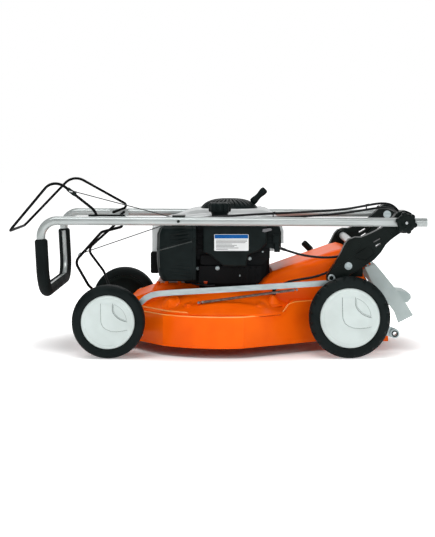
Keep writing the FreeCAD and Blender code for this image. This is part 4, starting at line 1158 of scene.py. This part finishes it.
def studio_world():
    """Bright sky behind the mower and a dim one on its other sides."""
    world = bpy.data.worlds.new("studio")
    world.use_nodes = True
    nodes = world.node_tree.nodes
    links = world.node_tree.links
    coords = nodes.new("ShaderNodeTexCoord")
    split = nodes.new("ShaderNodeSeparateXYZ")
    links.new(coords.outputs["Generated"], split.inputs["Vector"])
    level = nodes.new("ShaderNodeMapRange")
    level.inputs["From Min"].default_value = 0.84
    level.inputs["From Max"].default_value = 0.92
    level.inputs["To Min"].default_value = 0.28
    level.inputs["To Max"].default_value = 1.0
    links.new(split.outputs["Y"], level.inputs["Value"])
    nodes["Background"].inputs["Color"].default_value = (1, 1, 1, 1)
    links.new(level.outputs["Result"], nodes["Background"].inputs["Strength"])
    bpy.context.scene.world = world


def floor_material():
    """Pale floor that glows away from the mower, so its far parts stay white."""
    mat = new_material("floor_white", (0.9, 0.9, 0.9), 0.8, specular=0.1)
    nodes = mat.node_tree.nodes
    links = mat.node_tree.links
    coords = nodes.new("ShaderNodeTexCoord")
    flatten = nodes.new("ShaderNodeMapping")
    flatten.inputs["Scale"].default_value = (0.8, 1.35, 0.0)
    away = nodes.new("ShaderNodeVectorMath")
    away.operation = "LENGTH"
    glow = nodes.new("ShaderNodeMapRange")
    glow.interpolation_type = "SMOOTHSTEP"
    glow.inputs["From Min"].default_value = 0.26
    glow.inputs["From Max"].default_value = 0.56
    glow.inputs["To Min"].default_value = 0.0
    glow.inputs["To Max"].default_value = 0.9
    links.new(coords.outputs["Object"], flatten.inputs["Vector"])
    links.new(flatten.outputs["Vector"], away.inputs[0])
    links.new(away.outputs["Value"], glow.inputs["Value"])
    shader = nodes["Principled BSDF"]
    shader.inputs["Emission Color"].default_value = (1, 1, 1, 1)
    links.new(glow.outputs["Result"], shader.inputs["Emission Strength"])
    return mat


def studio():
    """Surroundings, three lamps and the floor."""
    bpy.context.scene.view_settings.view_transform = "Standard"
    studio_world()
    area_light("key_light", (-0.5, -1.0, 2.7), (0, 0, 0.2), (2.2, 1.2), 44)
    area_light("front_fill", (0.9, -3.2, 1.3), (0, 0, 0.2), (1.4, 0.8), 17)
    area_light("back_light", (0.3, 2.0, 2.4), (0, 0, 0.2), (2.6, 1.2), 22)
    mesh = bpy.data.meshes.new("floor")
    build = bmesh.new()
    bmesh.ops.create_grid(build, x_segments=1, y_segments=1, size=14.0)
    build.to_mesh(mesh)
    build.free()
    floor = bpy.data.objects.new("floor", mesh)
    mesh.materials.append(floor_material())
    bpy.context.collection.objects.link(floor)


def camera():
    """Level camera on the left side, raised, with the framing done by shift."""
    data = bpy.data.cameras.new("camera")
    data.sensor_width = 36.0
    data.lens = 83.1
    data.shift_x = -0.0341
    data.shift_y = -0.2270
    cam = bpy.data.objects.new("camera", data)
    cam.location = (0.0535, -3.268, 0.5185)
    cam.rotation_euler = (math.radians(90), 0, 0)
    bpy.context.collection.objects.link(cam)
    bpy.context.scene.camera = cam


camera()
studio()
dress_cad_nodes()
wheels()
deck_beads()
deck_bosses()
engine_seat()
shroud_crown()
spring_coil()
recoil_dome()
pull_grip()
pull_rope()
lobed_cap()
filter_cover()
tank_label()
engine_details()
engine_side()
control_block()
star_knob("left", -1)
star_knob("right", 1)
console_bolts()
console_details()
cable_pieces()
bail_fittings()
bare_wires()
grip_ends()
